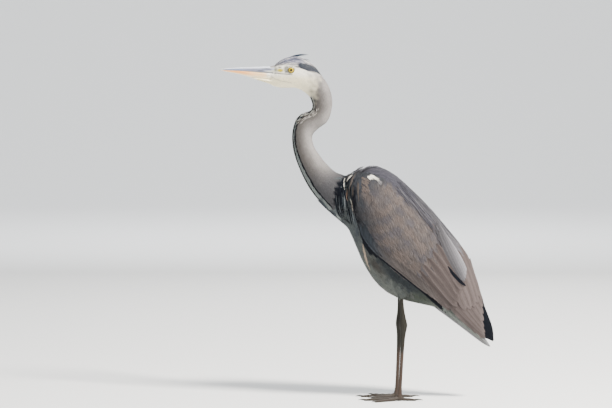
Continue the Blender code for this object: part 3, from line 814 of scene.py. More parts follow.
    def on_trunk(self, points: Array, along: Array, turn: Array) -> Array:
        """The colours of the trunk, wings and tail.

        Args:
            points: places in metres.
            along: their distances down the trunk.
            turn: their angles from the back.

        Returns:
            One colour for each point.
        """
        dyes = self.dyes
        away, down = np.abs(turn), along / MM
        upper, lower, _ = self.trunk.edges(np.clip(along, *WING_ENDS))
        soft, broad = clouds(points, 9 * MM, 21), clouds(points, 26 * MM, 22)
        under = per_row(dyes.belly, len(points))
        under = mixed(under, dyes.breast, step_up(170.0, 90.0, down))
        # painted shade: a dark green-tinged band under the rear of the belly
        under = mixed(under, (0.030, 0.036, 0.028), 0.85 * hump(300.0, 50.0, down))
        under = mixed(under, (0.105, 0.115, 0.105), step_up(330.0, 370.0, down))
        under = mixed(under, dyes.slate, 0.3 * np.clip(soft, 0.0, 1.0))
        share = (away - upper) / (lower - upper)
        wing = step_up(1.06, 1.0, share) * step_up(-4.0, 14.0, down)
        covert = per_row(dyes.coverts, len(points))
        covert = mixed(covert, dyes.rust, 0.15 * np.clip(broad + 0.4 * soft, 0.0, 1.0))
        covert = mixed(covert, dyes.mantle, 0.5 * np.clip(-broad - 0.3 * soft, 0.0, 1.0))
        front = step_up(80.0, 30.0, down + 12.0 * broad - 20.0 * step_up(0.6, 0.3, share))
        low = step_up(0.55, 0.95, share + 0.05 * soft) * step_up(170.0, 100.0, down)
        covert = mixed(covert, dyes.bluish, 0.85 * np.clip(front + low, 0.0, 1.0))
        covert = covert * (1.0 - 0.25 * step_up(0.75, 1.0, share))[:, None]
        tint = mixed(under, covert, wing)
        back = step_up(0.26, 0.12, share + 0.05 * soft - 0.0003 * (down - 60.0))
        grey = per_row(dyes.mantle, len(points))
        grey = mixed(grey, dyes.scapular, 0.95 * step_up(120.0, 270.0, down))
        return mixed(tint, grey, back)

    def everywhere(self, points: Array) -> Array:
        """The colour of the skin at any points."""
        at, turn, _ = self.neck.coordinates(points)
        along, angle = self.trunk.coordinates(points)
        tint = self.on_head_and_neck(points, at, turn)
        dark, white = self.front_rows(points, at, turn)
        # the white stripes in the stripe dye's painted shade
        tint = mixed(tint, self.dyes.stripe, 0.7 * white)
        tint = mixed(tint, self.dyes.black, dark)
        body = self.on_trunk(points, along, angle)
        above = (points[:, 2] - self.trunk.chest[2]) / MM
        trunk = step_up(-12.0, 20.0, along / MM) * step_up(60.0, 40.0, above)
        tint = mixed(tint, body, trunk)
        # painted shadow between neck and wing, in black
        tint = mixed(tint, self.dyes.black, 0.95 * self.shoulder_shade(points))
        over = (points - self.trunk.chest) @ OVER_BODY / MM
        rear = step_up(404.0, 420.0, along / MM) * step_up(-12.0, -6.0, over)
        return mixed(tint, self.dyes.black, rear)


# ------------------------------------------------------------------ meshes


def new_object(name: str, mesh: bpy.types.Mesh, finish: bpy.types.Material) -> bpy.types.Object:
    """A piece of the bird, riding on its body.

    Args:
        name: the piece's name.
        mesh: its mesh.
        finish: its material.

    Returns:
        The object.
    """
    made = linked(name, mesh)
    mesh.materials.clear()
    mesh.materials.append(finish)
    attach(made, BODY)
    LOG.info("%s: %d faces", name, len(mesh.polygons))
    return made


def store_tint(mesh: bpy.types.Mesh, tint: Array) -> None:
    """Keeps one colour for each vertex of a mesh."""
    rgba = np.ones((len(tint), 4), np.float32)
    rgba[:, :3] = np.clip(tint, 0.0, 1.0)
    layer = mesh.attributes.new("tint", "FLOAT_COLOR", "POINT")
    layer.data.foreach_set("color", rgba.ravel())


def gathered(items: object, name: str, width: int, kind: type = np.float32) -> Array:
    """One property of every item in a mesh, a row for each.

    Args:
        items: its vertices, edges, loops or normals.
        name: the property.
        width: how many numbers it has.
        kind: their type.

    Returns:
        The rows.
    """
    out = np.empty(len(items) * width, kind)
    items.foreach_get(name, out)
    return out.reshape(-1, width)


def points_of(mesh: bpy.types.Mesh) -> Array:
    """The vertices of a mesh as an array."""
    return gathered(mesh.vertices, "co", 3).astype(float)


def move_points(mesh: bpy.types.Mesh, points: Array) -> None:
    """Moves every vertex of a mesh."""
    mesh.vertices.foreach_set("co", points.astype(np.float32).ravel())
    mesh.update()


def linked(name: str, data: bpy.types.ID) -> bpy.types.Object:
    """A new object in the scene."""
    made = bpy.data.objects.new(name, data)
    bpy.context.scene.collection.objects.link(made)
    return made


def remeshed(mesh: bpy.types.Mesh, voxel: float) -> bpy.types.Mesh:
    """A mesh's outer form made anew from small even faces."""
    holder = linked("whole", mesh)
    remesh = holder.modifiers.new("remesh", "REMESH")
    remesh.mode = "VOXEL"
    remesh.voxel_size = voxel
    graph = bpy.context.evaluated_depsgraph_get()
    made = bpy.data.meshes.new_from_object(holder.evaluated_get(graph))
    bpy.data.objects.remove(holder)
    return made


def mesh_from(name: str, points: Array, faces: list[Array]) -> bpy.types.Mesh:
    """A smooth mesh from arrays of faces that each have one number of corners.

    Args:
        name: the mesh's name.
        points: its vertices.
        faces: arrays of vertex numbers, one row a face.

    Returns:
        The mesh.
    """
    faces = [rows for rows in faces if len(rows)]
    corners = np.concatenate([rows.ravel() for rows in faces])
    sizes = np.concatenate([np.full(len(rows), rows.shape[1]) for rows in faces])
    mesh = bpy.data.meshes.new(name)
    mesh.vertices.add(len(points))
    mesh.vertices.foreach_set("co", points.astype(np.float32).ravel())
    mesh.loops.add(len(corners))
    mesh.loops.foreach_set("vertex_index", corners.astype(np.int32))
    mesh.polygons.add(len(sizes))
    starts = np.concatenate(((0,), np.cumsum(sizes)[:-1]))
    mesh.polygons.foreach_set("loop_start", starts.astype(np.int32))
    mesh.update(calc_edges=True)
    mesh.validate()
    mesh.shade_smooth()
    return mesh


def tube_faces(rings: int, around: int) -> list[Array]:
    """The quads between rings of equal length, and a closing face at each end."""
    ring, k = np.meshgrid(np.arange(rings - 1), np.arange(around), indexing="ij")
    here, after = ring * around + k, ring * around + (k + 1) % around
    quads = np.stack((here, after, after + around, here + around), axis=-1).reshape(-1, 4)
    first = np.arange(around)[::-1][None]
    last = (np.arange(around) + (rings - 1) * around)[None]
    return [quads, np.concatenate((first, last))]


@dataclass
class Skin:
    """The one skin over head, neck, trunk, wings, thighs and tail."""

    markings: Markings
    voxel: float = 2.4 * MM
    overlap: float = 0.35 * MM
    rounds: int = 14
    nodes: tuple[str, ...] = (
        "head", "neck_upper", "neck_middle", "neck_lower", "trunk", "mantle",
        "wing_left", "wing_right", "thigh_left", "thigh_right",
        "tail", "quills_left", "quills_right",
    )

    def depth(self, points: Array) -> Array:
        """How deep the coat lies over the skin at each point, in metres."""
        at, _, _ = self.markings.neck.coordinates(points)
        along, _ = self.markings.trunk.coordinates(points)
        above = (points[:, 2] - self.markings.trunk.chest[2]) / MM
        deep = 0.9 + 1.3 * step_up(80.0, 150.0, at / MM)
        deep += 1.6 * step_up(20.0, -60.0, above) * step_up(330.0, 300.0, along / MM)
        deep -= 0.5 * step_up(360.0, 400.0, along / MM)
        back, over = self.markings.from_eye(points)
        deep += 2.6 * step_up(-30.0, -44.0, back) * step_up(-16.0, -8.0, over)
        return deep * MM

    def grow(self) -> bpy.types.Mesh:
        """The flesh nodes joined and remeshed into one closed mesh."""
        joined = bmesh.new()
        for node in self.nodes:
            joined.from_mesh(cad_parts[node].data)
        bmesh.ops.remove_doubles(joined, verts=joined.verts, dist=1e-6)
        bmesh.ops.recalc_face_normals(joined, faces=joined.faces)
        joined.normal_update()
        moved = [vertex.co + vertex.normal * self.overlap for vertex in joined.verts]
        for vertex, place in zip(joined.verts, moved):
            vertex.co = place
        mesh = bpy.data.meshes.new("flesh")
        joined.to_mesh(mesh)
        joined.free()
        return largest_island(remeshed(mesh, self.voxel))

    def build(self, finish: bpy.types.Material) -> bpy.types.Object:
        """The skin, drawn in by the depth of the coat."""
        mesh = self.grow()
        points = smoothed(mesh, points_of(mesh), self.rounds)
        move_points(mesh, points)
        normals = gathered(mesh.vertex_normals, "vector", 3).astype(float)
        points -= normals * (self.depth(points) + self.overlap)[:, None]
        move_points(mesh, points)
        mesh.shade_smooth()
        store_tint(mesh, self.markings.everywhere(points))
        made = new_object("skin", mesh, finish)
        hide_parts(*self.nodes)
        return made


def largest_island(mesh: bpy.types.Mesh) -> bpy.types.Mesh:
    """The same mesh with only its largest group of joined faces."""
    count = len(mesh.vertices)
    edges = gathered(mesh.edges, "vertices", 2, np.int32)
    label = np.arange(count)
    while True:
        low = np.minimum(label[edges[:, 0]], label[edges[:, 1]])
        fresh = label.copy()
        np.minimum.at(fresh, edges[:, 0], low)
        np.minimum.at(fresh, edges[:, 1], low)
        fresh = fresh[fresh]
        if np.array_equal(fresh, label):
            break
        label = fresh
    names, counts = np.unique(label, return_counts=True)
    keep = label == names[np.argmax(counts)]
    if keep.all():
        return mesh
    builder = bmesh.new()
    builder.from_mesh(mesh)
    builder.verts.ensure_lookup_table()
    stray = [vertex for vertex, kept in zip(builder.verts, keep) if not kept]
    bmesh.ops.delete(builder, geom=stray, context="VERTS")
    builder.to_mesh(mesh)
    builder.free()
    return mesh


def smoothed(mesh: bpy.types.Mesh, points: Array, rounds: int) -> Array:
    """The vertices of a mesh after rounds of smoothing that keep its volume."""
    edges = gathered(mesh.edges, "vertices", 2, np.int32)
    first, second = edges[:, 0], edges[:, 1]
    count = np.bincount(edges.ravel(), minlength=len(points)).astype(float)[:, None]
    for k in range(2 * rounds):
        total = np.column_stack(
            [
                np.bincount(first, points[second, axis], len(points))
                + np.bincount(second, points[first, axis], len(points))
                for axis in range(3)
            ]
        )
        points = points + (total / count - points) * (0.5 if k % 2 == 0 else -0.52)
    return points


# ------------------------------------------------------------------ feathers


class Outline(Enum):
    """The outline of a vane: how fast it widens, how it narrows, and how blunt."""

    SOFT = (0.6, 2.6, 0.8)
    LANCE = (0.7, 1.5, 0.9)
    BLADE = (0.35, 7.0, 0.5)

    def width(self, share: Array) -> Array:
        """The half width at shares of the length, at most one."""
        rise, late, blunt = self.value
        wide = np.minimum(share / 0.32, 1.0) ** rise * (1.0 - share**late) ** blunt
        return wide / 1.02


@dataclass(frozen=True)
class Cut:
    """How finely a kind of feather is made."""

    outline: Outline
    stations: int
    across: tuple[float, ...] = (-1.0, 0.0, 1.0)
    camber: float = 0.18
    thickness: float = 0.0
    cling: bool = False
    ragged: float = 0.0
    streak: float = 0.0

    def ring(self) -> tuple[Array, Array]:
        """Places across the vane round its closed section, and which lie beneath."""
        top = list(self.across)
        below = top[-2:0:-1] if self.thickness else []
        return np.array(top + below), np.array([0.0] * len(top) + [1.0] * len(below))


@dataclass
class Plumes:
    """One tract of feathers: where each is rooted and how it is shaped and tinted."""

    roots: Array
    ways: Array
    unwrap: Array
    length: Array
    width: Array
    lift: tuple[float, float]
    tint: Array | None = None
    shaft: Array | float = 1.0
    edge: Array | float = 1.0
    edge_tint: Array | None = None
    root_shade: float = 0.75
    lines: tuple[Array, Array, Array] | None = None
    ends: Array | None = None
    rise: Array | float = 0.0

    def __post_init__(self) -> None:
        """Makes plain numbers into arrays."""
        for name in ("rise", "length", "width", "shaft", "edge"):
            value = np.broadcast_to(getattr(self, name), len(self.roots))
            setattr(self, name, value.astype(float))


@dataclass
class Coat:
    """Lays feathers down on the skin and joins them into pieces."""

    skin: bpy.types.Object
    palette: Palette
    patch: float = 0.003
    reach: float = 9.0 * MM
    well_aside: float = 0.3
    close_aside: float = 0.03
    crease: float = 75.0

    def __post_init__(self) -> None:
        """Makes the skin searchable."""
        mesh = self.skin.data
        corners = [tuple(face.vertices) for face in mesh.polygons]
        self.tree = BVHTree.FromPolygons([v.co.copy() for v in mesh.vertices], corners)
        self.draw = np.random.default_rng(11)

    def nearest(self, points: Array) -> tuple[Array, Array, Array]:
        """The nearest places on the skin, their normals and how far off they are."""
        hits = [self.tree.find_nearest(point) for point in points.tolist()]
        place = np.array([hit[0] for hit in hits])
        normal = np.array([hit[1] for hit in hits])
        return place, normal, np.array([hit[3] for hit in hits])

    def beside(self, x: Array, z: Array, sign: float) -> Array:
        """The places on one side of the skin that are seen at given x and z."""
        found = []
        for px, pz in zip(x.tolist(), z.tolist()):
            start = Vector((px, self.well_aside * sign, pz))
            hit = self.tree.ray_cast(start, Vector((0.0, -sign, 0.0)))[0]
            if hit is None:
                hit = self.tree.find_nearest(Vector((px, self.close_aside * sign, pz)))[0]
            found.append(tuple(hit))
        return np.array(found)

    def settled(self, points: Array, slack: float) -> Array:
        """Which points lie within a slack of the skin's surface."""
        return self.nearest(points)[2] < slack

    def walk(self, plumes: Plumes, stops: int) -> tuple[Array, Array, Array]:
        """Lays each feather's line along the skin.

        Args:
            plumes: the feathers.
            stops: how many places are found on each line.

        Returns:
            The places, the normals and the directions, each by feather and stop.
        """
        place, normal, _ = self.nearest(plumes.roots)
        step = (plumes.length / (stops - 1))[:, None]
        places, normals, ways = [], [], []
        ends = plumes.ways if plumes.ends is None else plumes.ends
        for k in range(stops):
            way = plumes.ways + (ends - plumes.ways) * (k / (stops - 1))
            way = unit(way - normal * dot(way, normal))
            places.append(place)
            normals.append(normal)
            ways.append(way)
            ahead = place + way * step
            hit, found, gap = self.nearest(ahead)
            near = (gap < self.reach)[:, None]
            fall = np.clip(dot(hit - ahead, normal), -0.45 * step, 0.45 * step)
            place = ahead + normal * np.where(near, fall, 0.0)
            normal = unit(np.where(near, 0.4 * normal + 0.6 * found, normal))
        return np.stack(places, 1), np.stack(normals, 1), np.stack(ways, 1)

    def sew(
        self, name: str, groups: list[tuple[Plumes, Cut]], finish: PlumeFinish, slot: str
    ) -> bpy.types.Object:
        """Joins tracts of feathers into one piece.

        Args:
            name: the piece's name.
            groups: tracts with the way that each is cut.
            finish: the finish that they share.
            slot: not used.

        Returns:
            The piece.
        """
        parts = [self.vanes(plumes, cut) for plumes, cut in groups if len(plumes.roots)]
        starts = np.cumsum([0] + [len(part[0]) for part in parts])
        faces = [
            np.concatenate([part[kind] + start for part, start in zip(parts, starts)])
            for kind in (1, 2)
        ]
        points, tints, places, maps = (
            np.concatenate([part[kind] for part in parts]) for kind in (0, 3, 4, 5)
        )
        mesh = mesh_from(name, points, faces)
        mesh.set_sharp_from_angle(angle=math.radians(self.crease))
        store_tint(mesh, tints)
        layer = mesh.attributes.new("vane", "FLOAT_VECTOR", "POINT")
        layer.data.foreach_set("vector", places.astype(np.float32).ravel())
        corners = gathered(mesh.loops, "vertex_index", 1, np.int32).ravel()
        baked = mesh.uv_layers.new(name="OFBake")
        baked.uv.foreach_set("vector", maps[corners].astype(np.float32).ravel())
        return new_object(name, mesh, finish.build(self.palette))

    def vanes(self, plumes: Plumes, cut: Cut) -> tuple[Array, ...]:
        """The arrays of one tract of closed vanes.

        Args:
            plumes: the feathers.
            cut: how they are made.

        Returns:
            Vertices, quads, triangles, tints, places on the vane, and places on the
            unwrapped skin.
        """
        count, stops = len(plumes.roots), max(3, min(cut.stations + 2, 7))
        lines, ups, ways = plumes.lines or self.walk(plumes, stops)
        stops = lines.shape[1]
        across, beneath = cut.ring()
        shares = np.linspace(0.0, 1.0, cut.stations + 2)
        inner = shares[1:-1]
        at = np.linspace(0.0, 1.0, stops)
        spine, up = sampled(at, lines, shares), unit(sampled(at, ups, shares))
        way = unit(sampled(at, ways, shares))
        side = unit(np.cross(way, up))
        low, high = plumes.lift
        lift = low + (high - low) * shares**0.8
        spine = spine + up * (lift[None] + plumes.rise[:, None] * shares**0.8)[..., None]
        half = 0.5 * plumes.width[:, None] * cut.outline.width(inner)[None]
        if cut.ragged:
            half = half * (1.0 + cut.ragged * self.draw.normal(size=half.shape))
        out = across[None, None, :] * half[:, :, None]
        if cut.ragged:
            out = out * (1.0 + 0.6 * cut.ragged * self.draw.normal(size=out.shape))
        drop = cut.camber * np.abs(across)[None, None, :] ** 1.6 * half[:, :, None]
        drop = drop + beneath[None, None, :] * cut.thickness
        if cut.cling:
            drop = drop + self.cling_drop(
                spine[:, 1:-1], side[:, 1:-1], up[:, 1:-1], half, lift[1:-1], across
            )
        body = (
            spine[:, 1:-1, None, :]
            + side[:, 1:-1, None, :] * out[..., None]
            - up[:, 1:-1, None, :] * drop[..., None]
        )
        ring, rows = len(across), cut.stations
        each = 2 + rows * ring
        block = np.concatenate((spine[:, :1], body.reshape(count, -1, 3), spine[:, -1:]), axis=1)
        number = (np.arange(count) * each)[:, None]
        k = np.arange(ring)
        after = (k + 1) % ring
        corners = np.stack((k, after, ring + after, ring + k), 1)
        strip = [1 + r * ring + corners for r in range(rows - 1)]
        end = 1 + (rows - 1) * ring
        fans = np.concatenate(
            (np.stack((0 * k, 1 + after, 1 + k), 1), np.stack((end + k, end + after, 0 * k + each - 1), 1))
        )
        quads = np.concatenate(strip) if strip else np.zeros((0, 4), int)
        quads = (quads.reshape(1, -1) + number).reshape(-1, 4)
        tris = (fans.reshape(1, -1) + number).reshape(-1, 3)
        places = np.zeros((count, each, 3))
        places[:, 1:-1, 0] = np.tile(across, rows)
        places[:, 1:-1, 1] = np.repeat(inner, ring)
        places[:, -1, 1] = 1.0
        places[:, :, 2] = self.draw.uniform(size=(count, 1))
        tints = self.vane_tints(plumes, places)
        if cut.streak:
            lanes = 1.0 + cut.streak * self.draw.normal(size=(count, ring))
            tints[:, 1:-1] *= np.clip(np.tile(lanes, (1, rows)), 0.4, 1.8)[..., None]
        turn = self.draw.uniform(-0.5, 0.5, size=(count, 1))
        maps = np.stack((places[..., 0] * 0.4 + 0.06 * turn, places[..., 1] - 0.5), -1) * self.patch
        maps = plumes.unwrap[:, None, :] * 0.99 + 0.005 + maps
        return (
            block.reshape(-1, 3), quads, tris, tints.reshape(-1, 3),
            places.reshape(-1, 3), maps.reshape(-1, 2),
        )

    def cling_drop(
        self, spine: Array, side: Array, up: Array, half: Array, lift: Array, across: Array
    ) -> Array:
        """How far the vane's places fall away from its line to follow a curved skin."""
        count, rows = half.shape
        drops = []
        for sign in (-1.0, 1.0):
            edge = spine + side * (sign * half)[..., None]
            hit, _, gap = self.nearest(edge.reshape(-1, 3))
            hit = hit.reshape(count, rows, 3)
            fall = dot(edge - hit, up)[..., 0] - lift[None]
            near = gap.reshape(count, rows) < self.reach
            drops.append(np.where(near, np.clip(fall, -0.3 * half, 0.8 * half), 0.0))
        left, right = drops
        v = across[None, None, :]
        return np.where(v < 0, left[..., None], right[..., None]) * v**2

    @staticmethod
    def vane_tints(plumes: Plumes, places: Array) -> Array:
        """The tint of each vertex: darker at the root, its own shaft and edge."""
        v, t = np.abs(places[..., 0]), places[..., 1]
        tint = plumes.tint[:, None, :] * np.ones_like(places)
        shade = plumes.root_shade + (1.0 - plumes.root_shade) * step_up(0.0, 0.6, t)
        middle = 1.0 - step_up(0.0, 0.55, v)
        tint = tint * shade[..., None] * (1.0 + (plumes.shaft[:, None] - 1.0) * middle)[..., None]
        rim = np.maximum(step_up(0.6, 0.95, v), step_up(0.86, 1.0, t))
        if plumes.edge_tint is not None:
            rim = (rim * plumes.edge[:, None])[..., None]
            return tint * (1.0 - rim) + plumes.edge_tint[:, None, :] * rim
        return tint * (1.0 + (plumes.edge[:, None] - 1.0) * rim)[..., None]


def sampled(at: Array, rows: Array, shares: Array) -> Array:
    """Rows for each feather, read between their stops on a smooth curve.

    Args:
        at: the share of the length at each stop.
        rows: values by feather, stop and axis.
        shares: the shares that are wanted.

    Returns:
        Values by feather, share and axis.
    """
    moved = np.moveaxis(rows, 1, 0)
    flat = moved.reshape(len(at), -1)
    return np.moveaxis(eased(at, flat, shares).reshape(len(shares), *moved.shape[1:]), 0, 1)


def sloping(degrees: Array) -> Array:
    """Directions that point rearwards and fall by so many degrees."""
    fall = np.radians(degrees)
    return np.column_stack((np.cos(fall), np.zeros(len(fall)), -np.sin(fall)))


@dataclass
class Tract:
    """A patch of skin tiled with feather roots in staggered rows."""

    at: Array
    turn: Array
    points: Array

    @classmethod
    def tiled(
        cls,
        surface: Callable[[Array, Array], Array],
        rows: Array,
        low: Array,
        high: Array,
        girth: Array,
        gap: Array | float,
        draw: np.random.Generator,
    ) -> "Tract":
        """Roots in staggered rows over a curved form.

        Args:
            surface: gives points from distances and angles.
            rows: the distance of each row.
            low: the angle at which each row starts.
            high: the angle at which each row ends.
            girth: the length all round the form at each row, in metres.
            gap: the room for each feather, in metres, alike or row by row.
            draw: the source of small shifts.

        Returns:
            The tract.
        """
        at, turn = [], []
        pitch = float(np.mean(np.diff(rows))) if len(rows) > 1 else 0.0
        rooms = np.broadcast_to(gap, len(rows))
        for k, (row, first, last, wide, room) in enumerate(zip(rows, low, high, girth, rooms)):
            count = max(1, round((last - first) / math.tau * wide / room))
            cell = (last - first) / count
            places = first + (np.arange(count) + 0.25 + 0.5 * (k % 2)) * cell
            turn.append(places + cell * draw.uniform(-0.28, 0.28, count))
            at.append(row + pitch * draw.uniform(-0.35, 0.35, count))
        flat, round_ = np.concatenate(at), np.concatenate(turn)
        return cls(flat, round_, surface(flat, round_))

    def where(self, keep: Array) -> "Tract":
        """Only the roots that a mask keeps."""
        return Tract(self.at[keep], self.turn[keep], self.points[keep])


SMALL = Cut(Outline.SOFT, 2, camber=0.22)
DOWNY = Cut(Outline.SOFT, 3, camber=0.2)
LANCET = Cut(Outline.LANCE, 5, camber=0.25)
FIVE_ACROSS = (-1.0, -0.5, 0.0, 0.5, 1.0)
SEVEN_ACROSS = (-1.0, -0.8, -0.4, 0.0, 0.4, 0.8, 1.0)
CREST = Cut(Outline.LANCE, 12, FIVE_ACROSS, 0.2, 0.3 * MM, ragged=0.03)
PENDANT = Cut(Outline.LANCE, 14, FIVE_ACROSS, 0.22, 0.25 * MM, ragged=0.04)
COVERT = Cut(Outline.SOFT, 6, FIVE_ACROSS, 0.10, 0.16 * MM, ragged=0.07, streak=0.16)
SPREAD = Cut(Outline.BLADE, 14, SEVEN_ACROSS, 0.11, 0.3 * MM, ragged=0.012, streak=0.06)
QUILL = Cut(Outline.BLADE, 14, SEVEN_ACROSS, 0.05, 0.45 * MM, cling=True, ragged=0.012, streak=0.05)
TAIL = Cut(Outline.BLADE, 12, (-1.0, -0.6, 0.0, 0.6, 1.0), 0.06, 0.4 * MM)

VELVET = PlumeFinish("velvet_plumage", 7.0, 0.10, 0.0, Sheen.DOWN)
SOFT_PLUMAGE = PlumeFinish("soft_plumage", 12.0, 0.16, 0.12, Sheen.DOWN)
WING_PLUMAGE = PlumeFinish("wing_plumage", 26.0, 0.18, 0.35)
QUILL_PLUMAGE = PlumeFinish("quill_plumage", 90.0, 0.16, 0.6)


@dataclass
class Plumage:
    """All tracts of feathers over the skin."""

    neck: NeckForm
    trunk: TrunkForm
    quills: QuillForm
    marks: Markings
    coat: Coat
    bill: "Bill"

    def __post_init__(self) -> None:
        """Seeds the small differences between feathers."""
        self.draw = np.random.default_rng(7)

    def vary(self, tint: Array, amount: float) -> Array:
        """Tints made a little lighter or darker from feather to feather."""
        return np.clip(tint * (1.0 + amount * self.draw.normal(size=(len(tint), 1))), 0.0, 0.95)

    def scatter(self, low: float, high: float, count: int) -> Array:
        """Evenly drawn numbers between two."""
        return self.draw.uniform(low, high, count)

    def neck_tract(self, first: float, last: float, pitch: float, gap: float) -> Tract:
        """Roots all round the head and neck between two distances."""
        rows = np.arange(first, last, pitch)
        here = eased(self.neck.knots, self.neck.rows, rows)
        half = 0.5 * np.linalg.norm(here[:, 2:4] - here[:, :2], axis=1)
        girth = math.tau * np.sqrt(0.5 * (half**2 + here[:, 4] ** 2))
        whole = np.full(len(rows), math.pi)
        return Tract.tiled(self.neck.surface, rows, -whole, whole, girth, gap, self.draw)

    def neck_unwrap(self, tract: Tract) -> Array:
        """Places on an unwrap by path and angle."""
        return np.column_stack((tract.at / self.neck.length, tract.turn / math.tau + 0.5)) % 1.0

    @staticmethod
    def trunk_unwrap(tract: Tract) -> Array:
        """Places on an unwrap by distance down the trunk and angle."""
        return np.column_stack((tract.at / (520 * MM), tract.turn / math.tau + 0.5)) % 1.0

    def unwrap_at(self, points: Array) -> Array:
        """Places of any points on the trunk's unwrap."""
        return self.trunk_unwrap(Tract(*self.trunk.coordinates(points), points))

    def on_side(self, behind: Array, above: Array, sign: float) -> Array:
        """Places on one side's coat, by how far they lie behind the chest and above it."""
        return self.coat.beside(self.trunk.chest[0] + behind, self.trunk.chest[2] + above, sign)

    def lay_walked(self, made: Plumes, lifts: Array, first: float, stops: int) -> None:
        """Lays feathers on lines walked down the coat, rising to a lift of their own.

        Args:
            made: the feathers.
            lifts: how high each one's tip stands.
            first: the share of that lift at the root.
            stops: how many places are found on each line.
        """
        places, normals, ways = self.coat.walk(made, stops)
        rise = lifts[:, None] * np.linspace(first, 1.0, stops)
        made.lines = (places + normals * rise[..., None], normals, ways)

    def clear_of_face(self, points: Array) -> Array:
        """Which points lie on feathered skin, away from the eye and the bill."""
        back, above = self.marks.from_eye(points)
        bill = (back < -38.5) & (above < 9.0 + 0.25 * (back + 38.0)) & (above > -8.0)
        return (np.hypot(back, above) > 7.4) & ~bill

    def face_and_crown(self) -> None:
        """The tiny feathers of the face, and the streaky crown."""
        tract = self.neck_tract(0.4 * MM, self.neck.head_end + 14 * MM, 1.25 * MM, 1.2 * MM)
        tract = tract.where(self.clear_of_face(tract.points))
        tract = tract.where(self.coat.settled(tract.points, 4.6 * MM))
        back, above = self.marks.from_eye(tract.points)
        near_eye = np.hypot(back, above)
        bare = self.marks.bare_share(tract.points)
        length = 2.2 + 2.4 * step_up(8.0, 26.0, near_eye) + 1.4 * step_up(10.0, 60.0, back)
        length *= 1.0 - 0.45 * bare
        ways = self.neck.way(tract.at)
        eye_gap = tract.points - self.marks.eye * np.array((1.0, 0.0, 1.0))
        eye_gap[:, 1] = 0.0
        ways = ways + unit(eye_gap) * (0.8 * step_up(16.0, 7.0, near_eye))[:, None]
        seen = tract.points + ways * (0.6 * length * MM)[:, None]
        tint = self.marks.on_head_and_neck(seen, tract.at, tract.turn)
        face = Plumes(
            tract.points, ways, self.neck_unwrap(tract), length * MM,
            (1.1 + 0.22 * length) * 0.8 * MM, (-0.1 * MM, 0.65 * MM), self.vary(tint, 0.035),
            root_shade=0.9,
        )
        face = pick(face, self.marks.cap_share(tract.points) < 0.45)
        groups = [(face, SMALL), (self.chin(), SMALL), (self.bill_edge(), SMALL)]
        self.coat.sew("face_feathers", groups, VELVET, "face_plumage")
        self.coat.sew("crown_feathers", [(self.crown(), LANCET)], SOFT_PLUMAGE, "face_plumage")

    def crown(self) -> Plumes:
        """The narrow feathers of the crown, grey with fine dark and white streaks, and
        slate in the band behind the eye."""
        rows = self.neck_tract(1.0 * MM, self.neck.head_end + 8 * MM, 1.9 * MM, 1.0 * MM)
        rows = rows.where(self.marks.cap_share(rows.points) > 0.4)
        rows = rows.where(self.coat.settled(rows.points, 4.6 * MM))
        back, above = self.marks.from_eye(rows.points)
        band = self.marks.band_share(rows.points)
        tint = self.marks.on_head_and_neck(rows.points, rows.at, rows.turn)
        strip = np.column_stack((0.10 * rows.at, 18 * MM * rows.turn, 0.0 * rows.at))
        streak = 0.8 * clouds(strip, 1.7 * MM, 3) + 0.55 * self.draw.normal(size=len(back))
        high = step_up(7.0, 13.0, above)
        dark = high * step_up(0.75, 1.15, streak + 0.25 * step_up(-8.0, -30.0, back))
        tint = mixed(tint, self.marks.dyes.slate, 0.85 * dark)
        pale = high * step_up(-0.6, -1.1, streak) * (1.0 - 0.9 * band)
        tint = mixed(tint, self.marks.dyes.white, 0.65 * pale)
        length = 4.5 + 5.0 * step_up(-34.0, 0.0, back) + 4.0 * step_up(10.0, 40.0, back)
        return Plumes(
            rows.points, self.neck.way(rows.at), self.neck_unwrap(rows), length * MM,
            1.35 * MM, (-0.1 * MM, 0.95 * MM), self.vary(tint, 0.08), root_shade=0.85,
        )

    def bill_edge(self) -> Plumes:
        """Short feathers that reach forward over the base of the bill."""
        roots, outs = self.bill.rim(self.draw, 900)
        ends = roots + np.array((1.0, 0.0, 0.0)) * (self.scatter(6.5, 11.0, len(roots)) * MM)[:, None]
        rest, normal, _ = self.coat.nearest(ends)
        ends = np.column_stack((ends[:, 0], rest[:, 1:])) + normal * 0.5 * MM
        share = np.linspace(0.0, 1.0, 5)[None, :, None]
        lines = roots[:, None] * (1.0 - share) + ends[:, None] * share
        lines = lines + outs[:, None] * (0.35 * MM * np.sin(math.pi * share))
        ways = unit(ends - roots)
        at, turn, _ = self.neck.coordinates(ends)
        tint = self.marks.on_head_and_neck(ends, at, turn)
        made = Plumes(
            roots, ways, np.column_stack((0.01 + 0.0 * at, turn / math.tau + 0.5)) % 1.0,
            7.5 * MM, 1.3 * MM, (0.0, 0.3 * MM), self.vary(tint, 0.04), root_shade=1.0,
        )
        made.lines = (lines, np.repeat(outs[:, None], 5, 1), np.repeat(ways[:, None], 5, 1))
        return made

